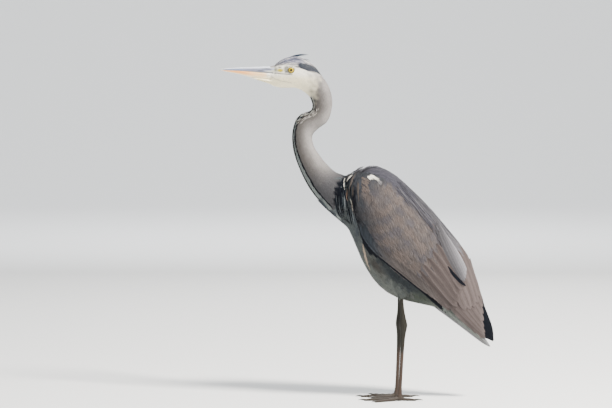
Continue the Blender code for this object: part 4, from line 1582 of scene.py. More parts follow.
    def chin(self) -> Plumes:
        """The feathered wedge that runs forward under the lower mandible."""
        count = 900
        base, bill = self.marks.eye[0] - 39.0 * MM, 117 * MM
        ahead = self.scatter(0.0, 1.0, count) ** 0.8
        x = base + 6 * MM - 44.0 * MM * ahead
        share = np.clip((x - (base - bill)) / bill, 0.0, 1.0)
        keel = self.bill.lines(share)[2] * MM
        wedge = 1.0 - np.clip((base - x) / (54 * MM), 0.0, 1.0)
        middle = keel - (0.2 + 5.0 * wedge) * MM
        turn = self.scatter(0.42 * math.pi, 1.58 * math.pi, count)
        z = middle + (0.7 + 6.5 * wedge) * MM * np.cos(turn)
        y = (1.6 + 11.0 * wedge) * MM * np.sin(turn)
        points = np.column_stack((x, y, z))
        keep = self.coat.settled(points, 3.0 * MM)
        points = points[keep]
        tint = per_row(self.marks.dyes.cream, len(points))
        ways = per_row((1.0, 0.0, 0.05), len(points))
        unwrap = np.column_stack((0.02 + 0.1 * ahead[keep], turn[keep] / math.tau))
        return Plumes(
            points, ways, unwrap, 3.0 * MM, 1.2 * MM, (-0.1 * MM, 0.6 * MM), self.vary(tint, 0.04)
        )

    def crest(self) -> None:
        """The slate plumes that have lifted from the crown, and wisps behind them."""
        eye = self.marks.eye
        # start behind the eye, its height, length, side, rise, drop at the tip, width
        plans = (
            (-7.0, 753.0, 47.0, -0.8, 8.0, 1.4, 3.6), (-3.0, 754.0, 40.0, 1.6, 6.6, 1.2, 3.2),
            (2.0, 754.6, 34.0, -2.4, 4.8, 1.0, 3.0), (5.0, 754.2, 28.0, 3.0, 3.2, 0.4, 2.8),
            (17.0, 748.8, 26.0, -2.0, 1.6, 4.6, 2.4), (21.0, 746.6, 20.0, -5.0, 1.6, 5.0, 2.0),
        )
        share = np.linspace(0.0, 1.0, 7)
        lines = []
        for start, height, length, side, rise, drop, _ in plans:
            over = rise * np.sin(0.62 * math.pi * share) - drop * share**3
            root = np.array((eye[0] + start * MM, 0.0, height * MM))
            shape = np.column_stack((length * share, side * (1.0 + share), over))
            lines.append(root + shape * MM)
        lines = np.array(lines)
        ways = unit(np.gradient(lines, axis=1))
        ups = np.broadcast_to(unit(np.array((0.0, -1.0, 0.35))), lines.shape)
        tint = self.vary(per_row(self.marks.dyes.slate, len(plans)) * 1.4, 0.2)
        unwrap = np.column_stack((np.full(len(plans), 0.1), 0.5 + 0.01 * np.arange(len(plans))))
        plumes = Plumes(
            lines[:, 0], ways[:, 0], unwrap, column(plans, 2) * MM,
            0.8 * column(plans, 6) * MM, (0.0, 0.0), tint, edge=1.5,
        )
        plumes.lines = (lines, ups, ways)
        piece = self.coat.sew("crest_plumes", [(plumes, CREST)], SOFT_PLUMAGE, "dark_plumage")
        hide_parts("crest")

    def ruffled(self, points: Array) -> Array:
        """How far feathers stand up where the neck rises from the back."""
        place = (points - self.trunk.chest)[:, (0, 2)] / MM
        return hump(46.0, 34.0, place[:, 0]) * step_up(-22.0, 14.0, place[:, 1])

    def off_corner(self, points: Array) -> Array:
        """Which points lie away from the creases where neck and thigh leave the trunk."""
        place = (points - self.trunk.chest)[:, (0, 2)] / MM
        clear = np.ones(len(points), bool)
        for x, z, reach in ((16.0, -91.0, 14.0), (155.0, -250.0, 12.0)):
            clear &= np.hypot(place[:, 0] - x, place[:, 1] - z) > reach
        return clear

    def neck_feathers(self) -> None:
        """The velvety neck."""
        start = self.neck.head_end - 2 * MM
        middle = self.neck.place(11.5)
        # piece, first and last distance, then pitch, room and lift at the tip in mm
        spans = (
            ("neck_feathers_upper", start, middle, 2.2, 1.7, 1.0),
            ("neck_feathers_lower", middle, self.neck.length, 3.0, 2.2, 1.5),
        )
        for name, first, last, pitch, gap, lift in spans:
            tract = self.neck_tract(first, last, pitch * MM, gap * MM)
            tract = tract.where(self.coat.settled(tract.points, 4.5 * MM))
            along, _ = self.trunk.coordinates(tract.points)
            tract = tract.where((along < 26 * MM) | (tract.points[:, 2] < 0.40))
            tract = tract.where(self.off_corner(tract.points))
            down = tract.at / MM
            length = (6.5 + 5.5 * step_up(90.0, 260.0, down) + 5 * step_up(280.0, 400.0, down)) * MM
            ways = self.neck.way(tract.at)
            seen = tract.points + ways * (0.7 * length)[:, None]
            tint = self.marks.on_head_and_neck(seen, tract.at + 0.7 * length, tract.turn)
            # painted shadow between neck and wing, in black
            tint = mixed(tint, self.marks.dyes.black, self.marks.shoulder_shade(seen))
            feathers = Plumes(
                tract.points, ways, self.neck_unwrap(tract), length,
                0.30 * length + 0.6 * MM, (-0.2 * MM, lift * MM), self.vary(tint, 0.045),
                edge=1.03, root_shade=0.9, rise=3.0 * MM * self.ruffled(tract.points),
            )
            self.coat.sew(name, [(feathers, DOWNY)], VELVET, "neck_plumage")

    def foreneck(self) -> None:
        """The dark rows and white stripes down the front of the neck, and the loose
        streaks at its bend."""
        dyes = self.marks.dyes
        tract = self.neck_tract(100 * MM, self.neck.length - 36 * MM, 2.6 * MM, 1.4 * MM)
        dark, white = self.marks.front_rows(tract.points, tract.at, tract.turn)
        keep = (np.maximum(dark, white) > 0.35) & self.coat.settled(tract.points, 4.5 * MM)
        tract, dark, white = tract.where(keep), dark[keep], white[keep]
        down = tract.at / MM
        # painted shade: the white stripes are grey-green as in shade, a paler grey high on the neck
        tint = per_row(dyes.stripe, len(dark))
        tint = mixed(tint, np.array(dyes.white) * 0.45, 0.6 * step_up(190.0, 150.0, down))
        tint = mixed(tint, dyes.black, dark > white)
        length = 7.0 + 5.0 * step_up(200.0, 300.0, down) + 3.0 * step_up(300.0, 390.0, down)
        length *= self.scatter(0.85, 1.25, len(dark))
        rows = Plumes(
            tract.points, self.neck.way(tract.at), self.neck_unwrap(tract), length * MM,
            (1.2 + 0.07 * length) * MM, (0.3 * MM, 1.9 * MM), self.vary(tint, 0.1),
        )
        bend = self.neck_tract(158 * MM, 216 * MM, 3.2 * MM, 2.3 * MM)
        bend = bend.where((np.abs(bend.turn) > 1.9) & self.coat.settled(bend.points, 4.5 * MM))
        kind = self.scatter(0.0, 1.0, len(bend.at)) - 0.25 * step_up(2.3, 1.9, np.abs(bend.turn))
        bend, kind = bend.where(kind > 0.5), kind[kind > 0.5]
        # painted shade: the white streaks darkened to grey
        tint = per_row(np.array(dyes.white) * 0.42, len(kind))
        tint = mixed(tint, dyes.pale, (kind > 0.62) & (kind < 0.7))
        tint = mixed(tint, dyes.black, kind > 0.78)
        loose = Plumes(
            bend.points, self.neck.way(bend.at), self.neck_unwrap(bend),
            self.scatter(6.0, 11.0, len(kind)) * MM, 1.15 * MM, (0.4 * MM, 3.2 * MM),
            self.vary(tint, 0.1),
        )
        groups = [(rows, LANCET), (loose, LANCET), (self.breast_plumes(), LANCET)]
        self.coat.sew("foreneck_streaks", groups, SOFT_PLUMAGE, "neck_plumage")

    def breast_plumes(self) -> Plumes:
        """The long plumes that hang from the foot of the foreneck over the breast."""
        # the front of neck and breast, behind the chest and above it
        front = np.array((
            (-44.5, -36.9), (-24.5, -56.9), (-4.5, -74.9), (13.8, -90.3), (27.6, -102.9),
            (35.6, -116.7), (42.4, -135.4), (55.6, -168.9),
        )) * MM
        away = np.concatenate(((0.0,), np.cumsum(np.linalg.norm(np.diff(front, axis=0), axis=1))))
        count, stops = 420, 7
        side = self.scatter(-21.0, 21.0, count) * MM
        root = self.scatter(4.0, 92.0, count) * MM
        length = self.scatter(20.0, 34.0, count) * MM
        at = root[:, None] + length[:, None] * np.linspace(0.0, 1.0, stops)
        here = eased(away, front, at.ravel())
        way = unit(eased(away, front, at.ravel() + MM) - here)
        round_off = 24.0 * MM
        y = np.repeat(side, stops)
        inward = 1.6 * MM + y**2 / (2.0 * round_off)
        lines = self.trunk.chest + np.column_stack(
            (here[:, 0] - way[:, 1] * inward, y, here[:, 1] + way[:, 0] * inward)
        )
        ups = unit(np.column_stack((way[:, 1], y / round_off, -way[:, 0])))
        ways = np.column_stack((way[:, 0], 0.0 * y, way[:, 1]))
        dyes, out = self.marks.dyes, np.abs(side) / MM
        low = (root + 0.7 * length) / MM
        tint = per_row(dyes.breast, count)
        tint = mixed(tint, dyes.slate, step_up(19.0, 12.0, out) * step_up(100.0, 60.0, low))
        tint = mixed(tint, dyes.black, (np.abs(out - 9.4) < 1.8) * step_up(86.0, 70.0, low))
        # the white stripe in the stripe dye's painted shade
        tint = mixed(tint, dyes.stripe, (np.abs(out - 5.6) < 2.2) * step_up(92.0, 80.0, low))
        tint = mixed(tint, dyes.black, (out < 3.4) * step_up(90.0, 80.0, low))
        shape = (count, stops, 3)
        unwrap = np.column_stack((0.97 + 0.0 * side, 0.5 + side * 4.0))
        made = Plumes(
            lines.reshape(shape)[:, 0], ways.reshape(shape)[:, 0], unwrap, length,
            self.scatter(2.2, 3.6, count) * MM, (0.0, 0.9 * MM), self.vary(tint, 0.08),
        )
        made.lines = (lines.reshape(shape), ups.reshape(shape), ways.reshape(shape))
        return made

    def body_tract(
        self, rows: Array, low: Array, high: Array, gap: Array | float, out: float, slack: float
    ) -> Tract:
        """Roots on both sides of the trunk between two angles from the back.

        Args:
            rows: distances down the trunk.
            low: the angle at which each row starts, on either side.
            high: the angle at which each row ends.
            gap: the room for each feather.
            out: how far outside the trunk the roots are sought.
            slack: how far from the skin a root may be.

        Returns:
            The tract.
        """
        here = eased(self.trunk.rows[:, 0], self.trunk.rows, rows)
        half = 0.5 * (here[:, 1] - here[:, 2]) + out
        girth = math.tau * np.sqrt(0.5 * (half**2 + (here[:, 3] + out) ** 2))

        def surface(at: Array, turn: Array) -> Array:
            """Points on the trunk at the height of the coat."""
            return self.trunk.surface(at, turn, np.full(len(at), out))

        one = Tract.tiled(surface, rows, low, high, girth, gap, self.draw)
        other = Tract.tiled(surface, rows, -high, -low, girth, gap, self.draw)
        tract = Tract(
            np.concatenate((one.at, other.at)), np.concatenate((one.turn, other.turn)),
            np.concatenate((one.points, other.points)),
        )
        return tract.where(self.coat.settled(tract.points, slack))

    def belly(self) -> None:
        """Breast, flanks, belly and the underside of the tail."""
        rows = np.arange(-8.0, 392.0, 4.2) * MM
        _, lower, _ = self.trunk.edges(np.clip(rows, *WING_ENDS))
        start = lower - 0.03
        tract = self.body_tract(rows, start, np.full(len(rows), math.pi), 3.1 * MM, 0.0, 9 * MM)
        tract = tract.where(self.off_corner(tract.points))
        down = tract.at / MM
        length = 13.0 + 7.0 * step_up(60.0, 200.0, down)
        ways = sloping(np.interp(down, (0, 80, 180, 300, 390), (62, 60, 45, 38, 40)))
        tint = self.marks.on_trunk(tract.points, tract.at, np.sign(tract.turn) * 2.9)
        away = np.abs(tract.turn)
        below = away - self.trunk.edges(np.clip(tract.at, *WING_ENDS))[1]
        dyes = self.marks.dyes
        rough = 0.05 * clouds(tract.points, 9 * MM, 33)
        shade = step_up(0.40, 0.10, below + rough) * step_up(150.0, 175.0, down) * step_up(335.0, 260.0, down)
        tint = mixed(tint, (0.014, 0.017, 0.021), 0.85 * shade)
        brown = hump(165.0, 55.0, down - 40.0 * below) * hump(0.33, 0.26, below + rough)
        tint = mixed(tint, (0.030, 0.026, 0.024), 0.8 * brown)
        # painted shadow: a black slit of shade on the flank under the front of the wing's lower edge
        slit = hump(137.0 - 8.0 * below, 30.0, down) * step_up(0.26, 0.12, below + 0.5 * rough)
        tint = mixed(tint, dyes.black, step_up(0.1, 0.35, slit))
        rim = hump(126.0 + 105.0 * (below - 0.2), 9.0, down - 30.0 * rough) * hump(0.44, 0.30, below)
        tint = mixed(tint, (0.36, 0.27, 0.20), 0.85 * step_up(0.1, 0.5, rim))
        streak = step_up(0.5, 0.9, clouds(tract.points, 8 * MM, 31)) * step_up(150.0, 60.0, down)
        tint = mixed(tint, dyes.slate, 0.5 * streak)
        at, turn, _ = self.neck.coordinates(tract.points)
        dark, white = self.marks.front_rows(tract.points, at, turn)
        front = step_up(75.0, 45.0, down)
        # the white stripes in the stripe dye's painted shade
        tint = mixed(tint, dyes.stripe, white * front)
        tint = mixed(tint, dyes.black, dark * front)
        feathers = Plumes(
            tract.points, ways, self.trunk_unwrap(tract), length * MM,
            0.36 * length * MM, (-0.3 * MM, 2.6 * MM), self.vary(tint, 0.08), edge=1.12,
        )
        self.coat.sew(
            "belly_feathers", [(feathers, DOWNY), (self.undertail(), DOWNY)], SOFT_PLUMAGE, "belly_plumage"
        )

    def undertail(self) -> Plumes:
        """The soft feathers beneath the root of the tail."""
        count = 900
        share = self.scatter(0.0, 0.78, count)
        along = (365.0 + 110.0 * share) * MM
        turn = self.scatter(0.5, 1.5, count) * math.pi
        half = 14.0 * (1.0 - share) ** 1.2 + 3.5
        side = (21.0 + 4.0 * share) * MM * np.sin(turn)
        over = ((-24.0 + 9.0 * share) + half * np.cos(turn)) * MM
        points = self.trunk.chest + np.outer(along, ALONG_BODY) + np.outer(over, OVER_BODY)
        points[:, 1] += side
        keep = self.coat.settled(points, 6 * MM)
        tract = Tract(along[keep], turn[keep], points[keep])
        tint = self.vary(per_row(self.marks.dyes.belly, keep.sum()) * 1.6, 0.08)
        return Plumes(
            tract.points, per_row(ALONG_BODY, keep.sum()), self.trunk_unwrap(tract),
            self.scatter(16, 24, keep.sum()) * MM, 6.5 * MM, (-0.2 * MM, 1.4 * MM), tint, edge=1.1,
        )

    def thighs(self) -> None:
        """The short feathers down each thigh."""
        groups = []
        # side, and how far hip and heel lie behind the feet's middle, in mm
        for sign, hip, heel in ((-1.0, 4.4, 9.5), (1.0, 2.6, 2.9)):
            count = 1300
            z = self.scatter(221.0, 288.0, count)
            turn = self.scatter(-math.pi, math.pi, count)
            radius = np.interp(z, (222, 230, 241, 254, 268, 282), (7, 10.3, 14.3, 19, 23, 25))
            middle = hip + (heel - hip) * (224.0 - z) / 57.0
            x = (middle + radius * np.cos(turn)) * MM + self.marks.eye[0] - EYE_FROM_FEET
            y = (sign * 30.0 + 0.75 * radius * np.sin(turn)) * MM
            points = np.column_stack((x, y, z * MM))
            keep = self.coat.settled(points, 5 * MM) & self.off_corner(points)
            unwrap = np.column_stack((0.25 + 0.2 * sign + 0.03 * np.cos(turn), (z - 200) / 100))[keep]
            tint = self.vary(per_row(self.marks.dyes.belly, keep.sum()), 0.08)
            ways = per_row((0.12, 0.0, -1.0), keep.sum())
            groups.append((
                Plumes(
                    points[keep], ways, unwrap, np.interp(z[keep], (221, 240), (6, 11)) * MM, 3.0 * MM,
                    (-0.2 * MM, 1.1 * MM), tint, edge=1.1,
                ), DOWNY,
            ))
        for sign in SIDES.values():
            groups.append((self.thigh_fringe(sign), DOWNY))
        self.coat.sew("thigh_feathers", groups, SOFT_PLUMAGE, "belly_plumage")

    def thigh_fringe(self, sign: float) -> Plumes:
        """The feathers over the crease where one thigh leaves the trunk."""
        count = 60
        x, length = self.scatter(140.0, 172.0, count), self.scatter(9.0, 14.0, count)
        foot = -262.0 + 0.09 * np.abs(x - 146.0)
        z = foot + length + self.scatter(0.0, 12.0, count)
        order = np.argsort(z)
        # painted shade: the belly tint darkened to match the painted shade of the belly round the crease
        rows = tuple(
            (x[k], z[k], x[k] + 0.10 * length[k], z[k] - 0.5 * length[k], x[k] + 0.3 * length[k],
             z[k] - length[k], 3.2, 0.5, 1.4, np.array(self.marks.dyes.belly) * self.draw.uniform(0.62, 0.85))
            for k in order
        )
        made = self.laid(rows, sign, 5, 0.6)
        made.edge_tint = None
        made.edge, made.shaft = 0.0 * made.edge + 1.1, 0.0 * made.shaft + 1.0
        return made

    def mantle(self) -> None:
        """The back between the wings, with the fine plumes that trail over them."""
        rows = np.arange(6.0, 285.0, 7.0) * MM
        upper, _, _ = self.trunk.edges(np.clip(rows, *WING_ENDS))
        tract = self.body_tract(rows, np.zeros(len(rows)), upper + 0.35, 5.2 * MM, WING_COAT, WING_SLACK)
        down = tract.at / MM
        ways = sloping(np.interp(down, (0, 30, 80, 340), (10, 34, 47, 58)))
        tint = self.marks.on_trunk(tract.points, tract.at, tract.turn * 0.4)
        # painted shadow between neck and wing, in black
        tint = mixed(tint, self.marks.dyes.black, 0.7 * self.marks.shoulder_shade(tract.points))
        length = self.scatter(22, 30, len(down)) * step_up(-30.0, 40.0, down)
        length += 14.0 * step_up(120.0, 220.0, down)
        feathers = Plumes(
            tract.points, ways, self.trunk_unwrap(tract), length * MM,
            (5.0 + 0.2 * length) * MM, (0.5 * MM, 1.9 * MM), self.vary(tint, 0.06), shaft=0.88, edge=1.12,
            rise=4.8 * MM * self.ruffled(tract.points),
        )
        self.coat.sew(
            "mantle_feathers", [(feathers, COVERT), (self.trailing_plumes(), LANCET)],
            SOFT_PLUMAGE, "wing_plumage",
        )

    def trailing_plumes(self) -> Plumes:
        """Narrow pale plumes that trail from the back over the wings."""
        count = 120
        along = self.scatter(90.0, 225.0, count) * MM
        turn = self.scatter(0.1, 0.72, count) * np.where(np.arange(count) % 2, 1.0, -1.0)
        points = self.trunk.surface(along, turn, np.full(count, WING_COAT))
        tract = Tract(along, turn, points)
        tint = mixed(
            per_row(self.marks.dyes.scapular, count), self.marks.dyes.mantle,
            self.scatter(0, 1, count),
        )
        return Plumes(
            points, sloping(self.scatter(54, 62, count)), self.trunk_unwrap(tract),
            self.scatter(45, 80, count) * MM, self.scatter(1.8, 3.2, count) * MM,
            (2.4 * MM, 3.9 * MM), self.vary(tint, 0.1), shaft=1.1, edge=0.8,
        )

    def coverts(self) -> None:
        """The small, middle and greater coverts of the folded wings, and the ends of the
        secondaries beyond them."""
        rows = [15.0]
        while rows[-1] < 322.0:
            rows.append(rows[-1] + np.interp(rows[-1], (0, 120, 215, 262), (4.2, 5.4, 7.0, 11.0)))
        rows = np.array(rows) * MM
        rooms = np.interp(rows / MM, (0, 120, 215, 262), (4.0, 5.0, 6.4, 8.5)) * MM
        upper, lower, _ = self.trunk.edges(rows)
        stop = lower - 0.05 - 0.13 * step_up(90.0, 150.0, rows / MM)
        tract = self.body_tract(rows, upper - 0.02, stop, rooms, WING_COAT, WING_SLACK)
        down, away = tract.at / MM, np.abs(tract.turn)
        upper, lower, _ = self.trunk.edges(tract.at)
        share = (away - upper) / (lower - upper)
        length = np.interp(down, (15, 120, 200, 232, 262, 320), (16, 23, 28, 32, 50, 58))
        length *= self.scatter(0.9, 1.1, len(down))
        limit = np.interp(np.degrees(away), (40, 62, 74, 88, 108, 124), (285, 300, 335, 372, 380, 352))
        length = np.minimum(length, (limit - down) / 0.93)
        keep = length > 10.0
        tract, down, away, share, length, lower = (
            tract.where(keep), down[keep], away[keep], share[keep], length[keep], lower[keep],
        )
        fall = 68.0 - 24.0 * step_up(0.62, 1.0, share) + 12.0 * step_up(120.0, 30.0, down)
        ways = sloping(fall + 2.0 * self.draw.normal(size=len(fall)))
        seen = tract.points + ways * (0.6 * length * MM)[:, None]
        along, turn = self.trunk.coordinates(seen)
        tint = self.marks.on_trunk(seen, along, np.sign(tract.turn) * np.minimum(np.abs(turn), lower - 0.06))
        # painted shade: a darker crescent under the tips of the middle coverts
        covert_tip_shade = hump(248.0, 16.0, down + 14.0 * np.cos(5.0 * share))
        tint = tint * (1.0 - 0.25 * covert_tip_shade)[:, None]
        # painted shadow between neck and wing, in black
        tint = mixed(tint, self.marks.dyes.black, 0.9 * self.marks.shoulder_shade(seen))
        edge_tint = mixed(tint * 1.5, self.marks.dyes.rust, 0.2)
        feathers = Plumes(
            tract.points, ways, self.trunk_unwrap(tract), length * MM,
            np.interp(down, (15, 120, 215, 262), (6.2, 8.6, 11.0, 14.5)) * MM,
            (0.5 * MM, 1.7 * MM), self.vary(tint, 0.06), shaft=0.88, root_shade=0.8,
            edge=self.scatter(0.0, 0.3, len(down)) + 0.3 * step_up(230.0, 270.0, down), edge_tint=edge_tint,
        )
        left = tract.points[:, 1] < 0.0
        for side, keep in (("left", left), ("right", ~left)):
            self.coat.sew(
                f"wing_coverts_{side}", [(pick(feathers, keep), COVERT)], WING_PLUMAGE, "wing_plumage"
            )

    def quill_lines(self, plan: Array, inset: float, stops: int = 7) -> tuple[Array, Array, Array]:
        """Lines on the roof of long quills.

        Args:
            plan: a row for each feather: side, first and last share, first and last
                angle in degrees.
            inset: how far below the roof they lie.
            stops: how many places on each line.

        Returns:
            The places, normals and directions, by feather and stop.
        """
        t = np.linspace(0.0, 1.0, stops)
        share = plan[:, 1:2] + (plan[:, 2:3] - plan[:, 1:2]) * t
        turn = np.radians(plan[:, 3:4] + (plan[:, 4:5] - plan[:, 3:4]) * t**0.9) * plan[:, :1]

        def at(shift_share: float, shift_turn: float) -> Array:
            """Places a little along or round the roof."""
            flat = self.quills.surface(
                (share + shift_share).ravel(), (turn + shift_turn).ravel(), np.full(share.size, inset)
            )
            return flat.reshape(*share.shape, 3)

        lines = at(0.0, 0.0)
        ups = unit(np.cross(at(0.0, 0.02) - lines, at(0.01, 0.0) - lines))
        ups *= np.sign(dot(ups, OVER_BODY + np.array((0, 1, 0)) * np.sign(turn)[..., None]))
        return lines, ups, unit(np.gradient(lines, axis=1))

    def long_quills(self, plan: Array, inset: float, width: Array, tint: Array, edge: float) -> Plumes:
        """Long feathers laid on the roof of quills.

        Args:
            plan: a row for each feather, as quill_lines takes.
            inset: how far below the roof they lie.
            width: their widths in metres.
            tint: their tints.
            edge: how strongly their edges pale.

        Returns:
            The feathers.
        """
        lines, ups, ways = self.quill_lines(plan, inset)
        length = np.linalg.norm(np.diff(lines, axis=1), axis=2).sum(1)
        unwrap = np.column_stack((0.65 + 0.2 * plan[:, 1], 0.5 + plan[:, 0] * plan[:, 3] / 400.0))
        made = Plumes(
            lines[:, 0], ways[:, 0], unwrap, length, width, (0.0, 0.0), tint,
            shaft=0.8, edge=edge, edge_tint=np.minimum(tint * 1.9 + 0.03, 0.8),
        )
        made.lines = (lines, ups, ways)
        return made

    def flight_feathers(self) -> None:
        """Primaries, secondaries and tertials, closed over the tail."""
        dyes = self.marks.dyes
        # first and last share, first and last angle, width, lightness of each tertial
        inner = np.array((
            (0.10, 0.880, 96.0, 97.0, 17.0, 0.86), (0.0, 0.85, 88.5, 88.5, 22.0, 0.96),
            (-0.10, 0.820, 80.0, 79.0, 27.0, 1.0),
            (-0.10, 0.755, 70.0, 68.0, 28.0, 0.94), (-0.10, 0.690, 57.0, 55.0, 28.0, 1.04),
            (-0.10, 0.620, 43.0, 42.0, 28.0, 0.96), (0.02, 0.550, 28.0, 29.0, 26.0, 1.05),
            (0.05, 0.470, 12.0, 16.0, 22.0, 0.98), (-0.05, 0.500, 3.0, 5.0, 24.0, 1.02),
        ))
        primaries = 9
        for side, sign in SIDES.items():
            step = np.linspace(0.0, 1.0, primaries)
            black = np.column_stack((
                np.full(primaries, sign), np.where(step > 0.85, -0.06, 0.43),
                0.90 + 0.09 * np.sin(math.pi * (1.1 - step)), 12 + 82 * step, 12 + 80 * step,
            ))
            tint = per_row(dyes.black, primaries)
            quills = self.long_quills(black, 0.9 * MM, np.full(primaries, 15 * MM), tint, 0.12)
            plan = np.column_stack((np.full(len(inner), sign), inner[:, :4]))
            tint = self.vary(per_row(dyes.tertial, len(inner)), 0.03) * inner[:, 5:]
            tertials = self.long_quills(plan, 0.2 * MM, inner[:, 4] * MM, tint, 0.22)
            groups = [
                (quills, QUILL), (tertials, QUILL), (self.scapulars(sign), QUILL),
                (self.wing_edge(sign), SPREAD), (self.covering(sign), SPREAD),
                (self.pale_stripe(sign), SPREAD),
            ]
            piece = self.coat.sew(f"flight_feathers_{side}", groups, QUILL_PLUMAGE, "wing_plumage")
            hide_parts(f"quills_{side}")

    def wing_edge(self, sign: float) -> Plumes:
        """The lower edge of the folded wing: a dark line under two rows of coverts."""
        # behind the chest and above it, from the bend of the wing to the tips of the secondaries
        knots = np.array((
            (53.4, -102.4), (66.6, -127.7), (85.3, -150.8), (112.8, -172.8), (143.6, -197.0),
            (174.4, -222.3), (205.2, -246.5), (231.6, -267.4), (253.6, -285.0),
        ))
        at = np.linspace(0.0, 1.0, len(knots))

        def places(share: Array, inward: Array | float) -> Array:
            """Places along the edge, moved into the wing."""
            here = eased(at, knots, share)
            way = unit(eased(at, knots, share + 0.01) - here)
            return here + np.column_stack((-way[:, 1], way[:, 0])) * np.reshape(inward, (-1, 1))

        dyes, rows = self.marks.dyes, []
        slit = np.linspace(0.0, 0.86, 22)
        wide = 1.5 + 7.0 * hump(0.10, 0.14, slit) + 6.0 * step_up(0.55, 0.80, slit)
        # share along the edge, where roots, bends and tips lie into the wing, reach, width, lifts
        for share, depths, reach, width, low, high in (
            (slit, (3.0 + 0.0 * slit, 0.5 - 0.6 * wide, -wide), 0.15, 8.0, 0.5, 0.9),
            (np.linspace(-0.04, 0.86, 30), (9.0, 4.5, 1.5), 0.12, 9.0, 1.5, 2.3),
            (np.linspace(-0.02, 0.84, 28), (17.0, 11.0, 6.5), 0.12, 10.0, 2.0, 2.6),
        ):
            parts = [places(share + reach * k, depth) for k, depth in zip((0.0, 0.5, 1.0), depths)]
            tints = per_row(dyes.black, len(share))
            if high > 1.0:
                tints = per_row(dyes.bluish, len(share))
                tints = mixed(tints, np.array(dyes.coverts) * 0.85, step_up(0.1, 0.4, share))
                tints = mixed(tints, np.array(dyes.tertial) * 0.85, step_up(0.6, 0.9, share))
                tints = self.vary(tints, 0.08)
            for spot, tint in zip(np.hstack(parts), tints):
                rows.append((*spot, width, low, high, tint))
        return self.laid(tuple(rows), sign, 7, 1.6)

    def laid(self, table: tuple, sign: float, stops: int = 9, facing: float = 0.3) -> Plumes:
        """Long feathers laid on one side of the bird, along curves seen from beside it.

        Args:
            table: a row for each feather: how far its root, its bend and its tip lie
                behind the chest and above it, its width, its lift at root and at tip,
                all in mm, and its tint.
            sign: the side.
            stops: how many places are found on each curve.
            facing: how far they are turned to face sideways.

        Returns:
            The feathers.
        """
        plan = np.array([row[:9] for row in table], float) * MM
        t = np.linspace(0.0, 1.0, stops)[None, :, None]
        root, bend, tip = plan[:, None, 0:2], plan[:, None, 2:4], plan[:, None, 4:6]
        curve = (1.0 - t) ** 2 * root + 2.0 * t * (1.0 - t) * bend + t**2 * tip
        places = self.on_side(curve[..., 0].ravel(), curve[..., 1].ravel(), sign)
        places = places.reshape(len(table), stops, 3)
        out = places[..., 1] * sign
        stride = np.linalg.norm(curve[:, -1] - curve[:, 0], axis=1) / (stops - 1)
        for k in range(1, stops):
            out[:, k] = np.maximum(out[:, k], out[:, k - 1] - 0.4 * stride)
        for k in range(stops - 2, -1, -1):
            out[:, k] = np.maximum(out[:, k], out[:, k + 1] - 0.4 * stride)
        for _ in range(24):
            out[:, 1:-1] = np.maximum(out[:, 1:-1], 0.5 * (out[:, :-2] + out[:, 2:]))
        places[..., 1] = out * sign
        normals = self.coat.nearest(places.reshape(-1, 3))[1].reshape(places.shape)
        ways = unit(np.gradient(places, axis=1))
        for _ in range(3):
            normals[:, 1:-1] = unit(normals[:, :-2] + normals[:, 1:-1] + normals[:, 2:])
        normals = normals + np.array((0.0, facing * sign, 0.0))
        normals = unit(normals - ways * dot(normals, ways))
        lift = plan[:, 7:8] + (plan[:, 8:9] - plan[:, 7:8]) * t[..., 0]
        tint = column(table, 9)
        made = Plumes(
            places[:, 0], ways[:, 0], self.unwrap_at(places[:, 0]),
            np.linalg.norm(np.diff(places, axis=1), axis=2).sum(1), plan[:, 6],
            (0.0, 0.0), tint, shaft=0.86, edge=0.3, edge_tint=np.minimum(tint * 1.6, 0.8),
        )
        made.lines = (places + normals * lift[..., None], normals, ways)
        return made

    def covering(self, sign: float) -> Plumes:
        """The ends of the greater coverts, the bases of the tertials behind them, and a black feather laid as
        painted shadow beneath the pale stripe."""
        dyes = self.marks.dyes
        brown, black = np.array(dyes.tertial), np.array(dyes.black)
        # as laid() takes them
        table = (
            (183.2, -190.4, 227.2, -241.0, 262.4, -279.5, 15, 1.6, 2.4, brown * 0.64),
            (192.0, -177.2, 236.0, -230.0, 267.9, -272.9, 17, 1.9, 2.8, brown * 0.76),
            (203.0, -164.0, 244.8, -216.8, 272.3, -263.0, 18, 2.2, 3.1, brown * 0.68),
            (211.8, -148.6, 251.4, -201.4, 274.5, -250.9, 18, 2.5, 3.4, brown * 0.78),
            (220.6, -133.2, 255.8, -186.0, 274.5, -236.6, 17, 2.8, 3.6, brown * 0.72),
            (238.2, -181.6, 266.8, -234.4, 286.6, -282.8, 17, 1.5, 2.0, brown * 0.94),
            (249.2, -172.8, 277.8, -225.6, 297.6, -280.6, 18, 1.8, 2.3, brown * 1.04),
            (260.2, -161.8, 288.8, -216.8, 306.4, -276.2, 18, 2.1, 2.6, brown * 0.97),
            (269.0, -150.8, 295.4, -203.6, 313.0, -267.4, 17, 2.4, 2.9, brown * 1.08),
            (275.6, -142.0, 299.8, -190.4, 318.5, -256.4, 15, 2.7, 3.2, brown * 1.0),
            # painted shadow: a black feather along the line of shade under the pale stripe's lower edge
            (245.0, -182.0, 260.0, -207.0, 285.0, -227.5, 7, 3.2, 4.6, black),
        )
        made = self.laid(table, sign)
        made.edge[:5] = 0.75
        return made

    def pale_stripe(self, sign: float) -> Plumes:
        """The stripe of pale scapulars, dark where it leaves the back: painted shade grading to pale across
        it.
        """
        pale = np.array(self.marks.dyes.scapular)
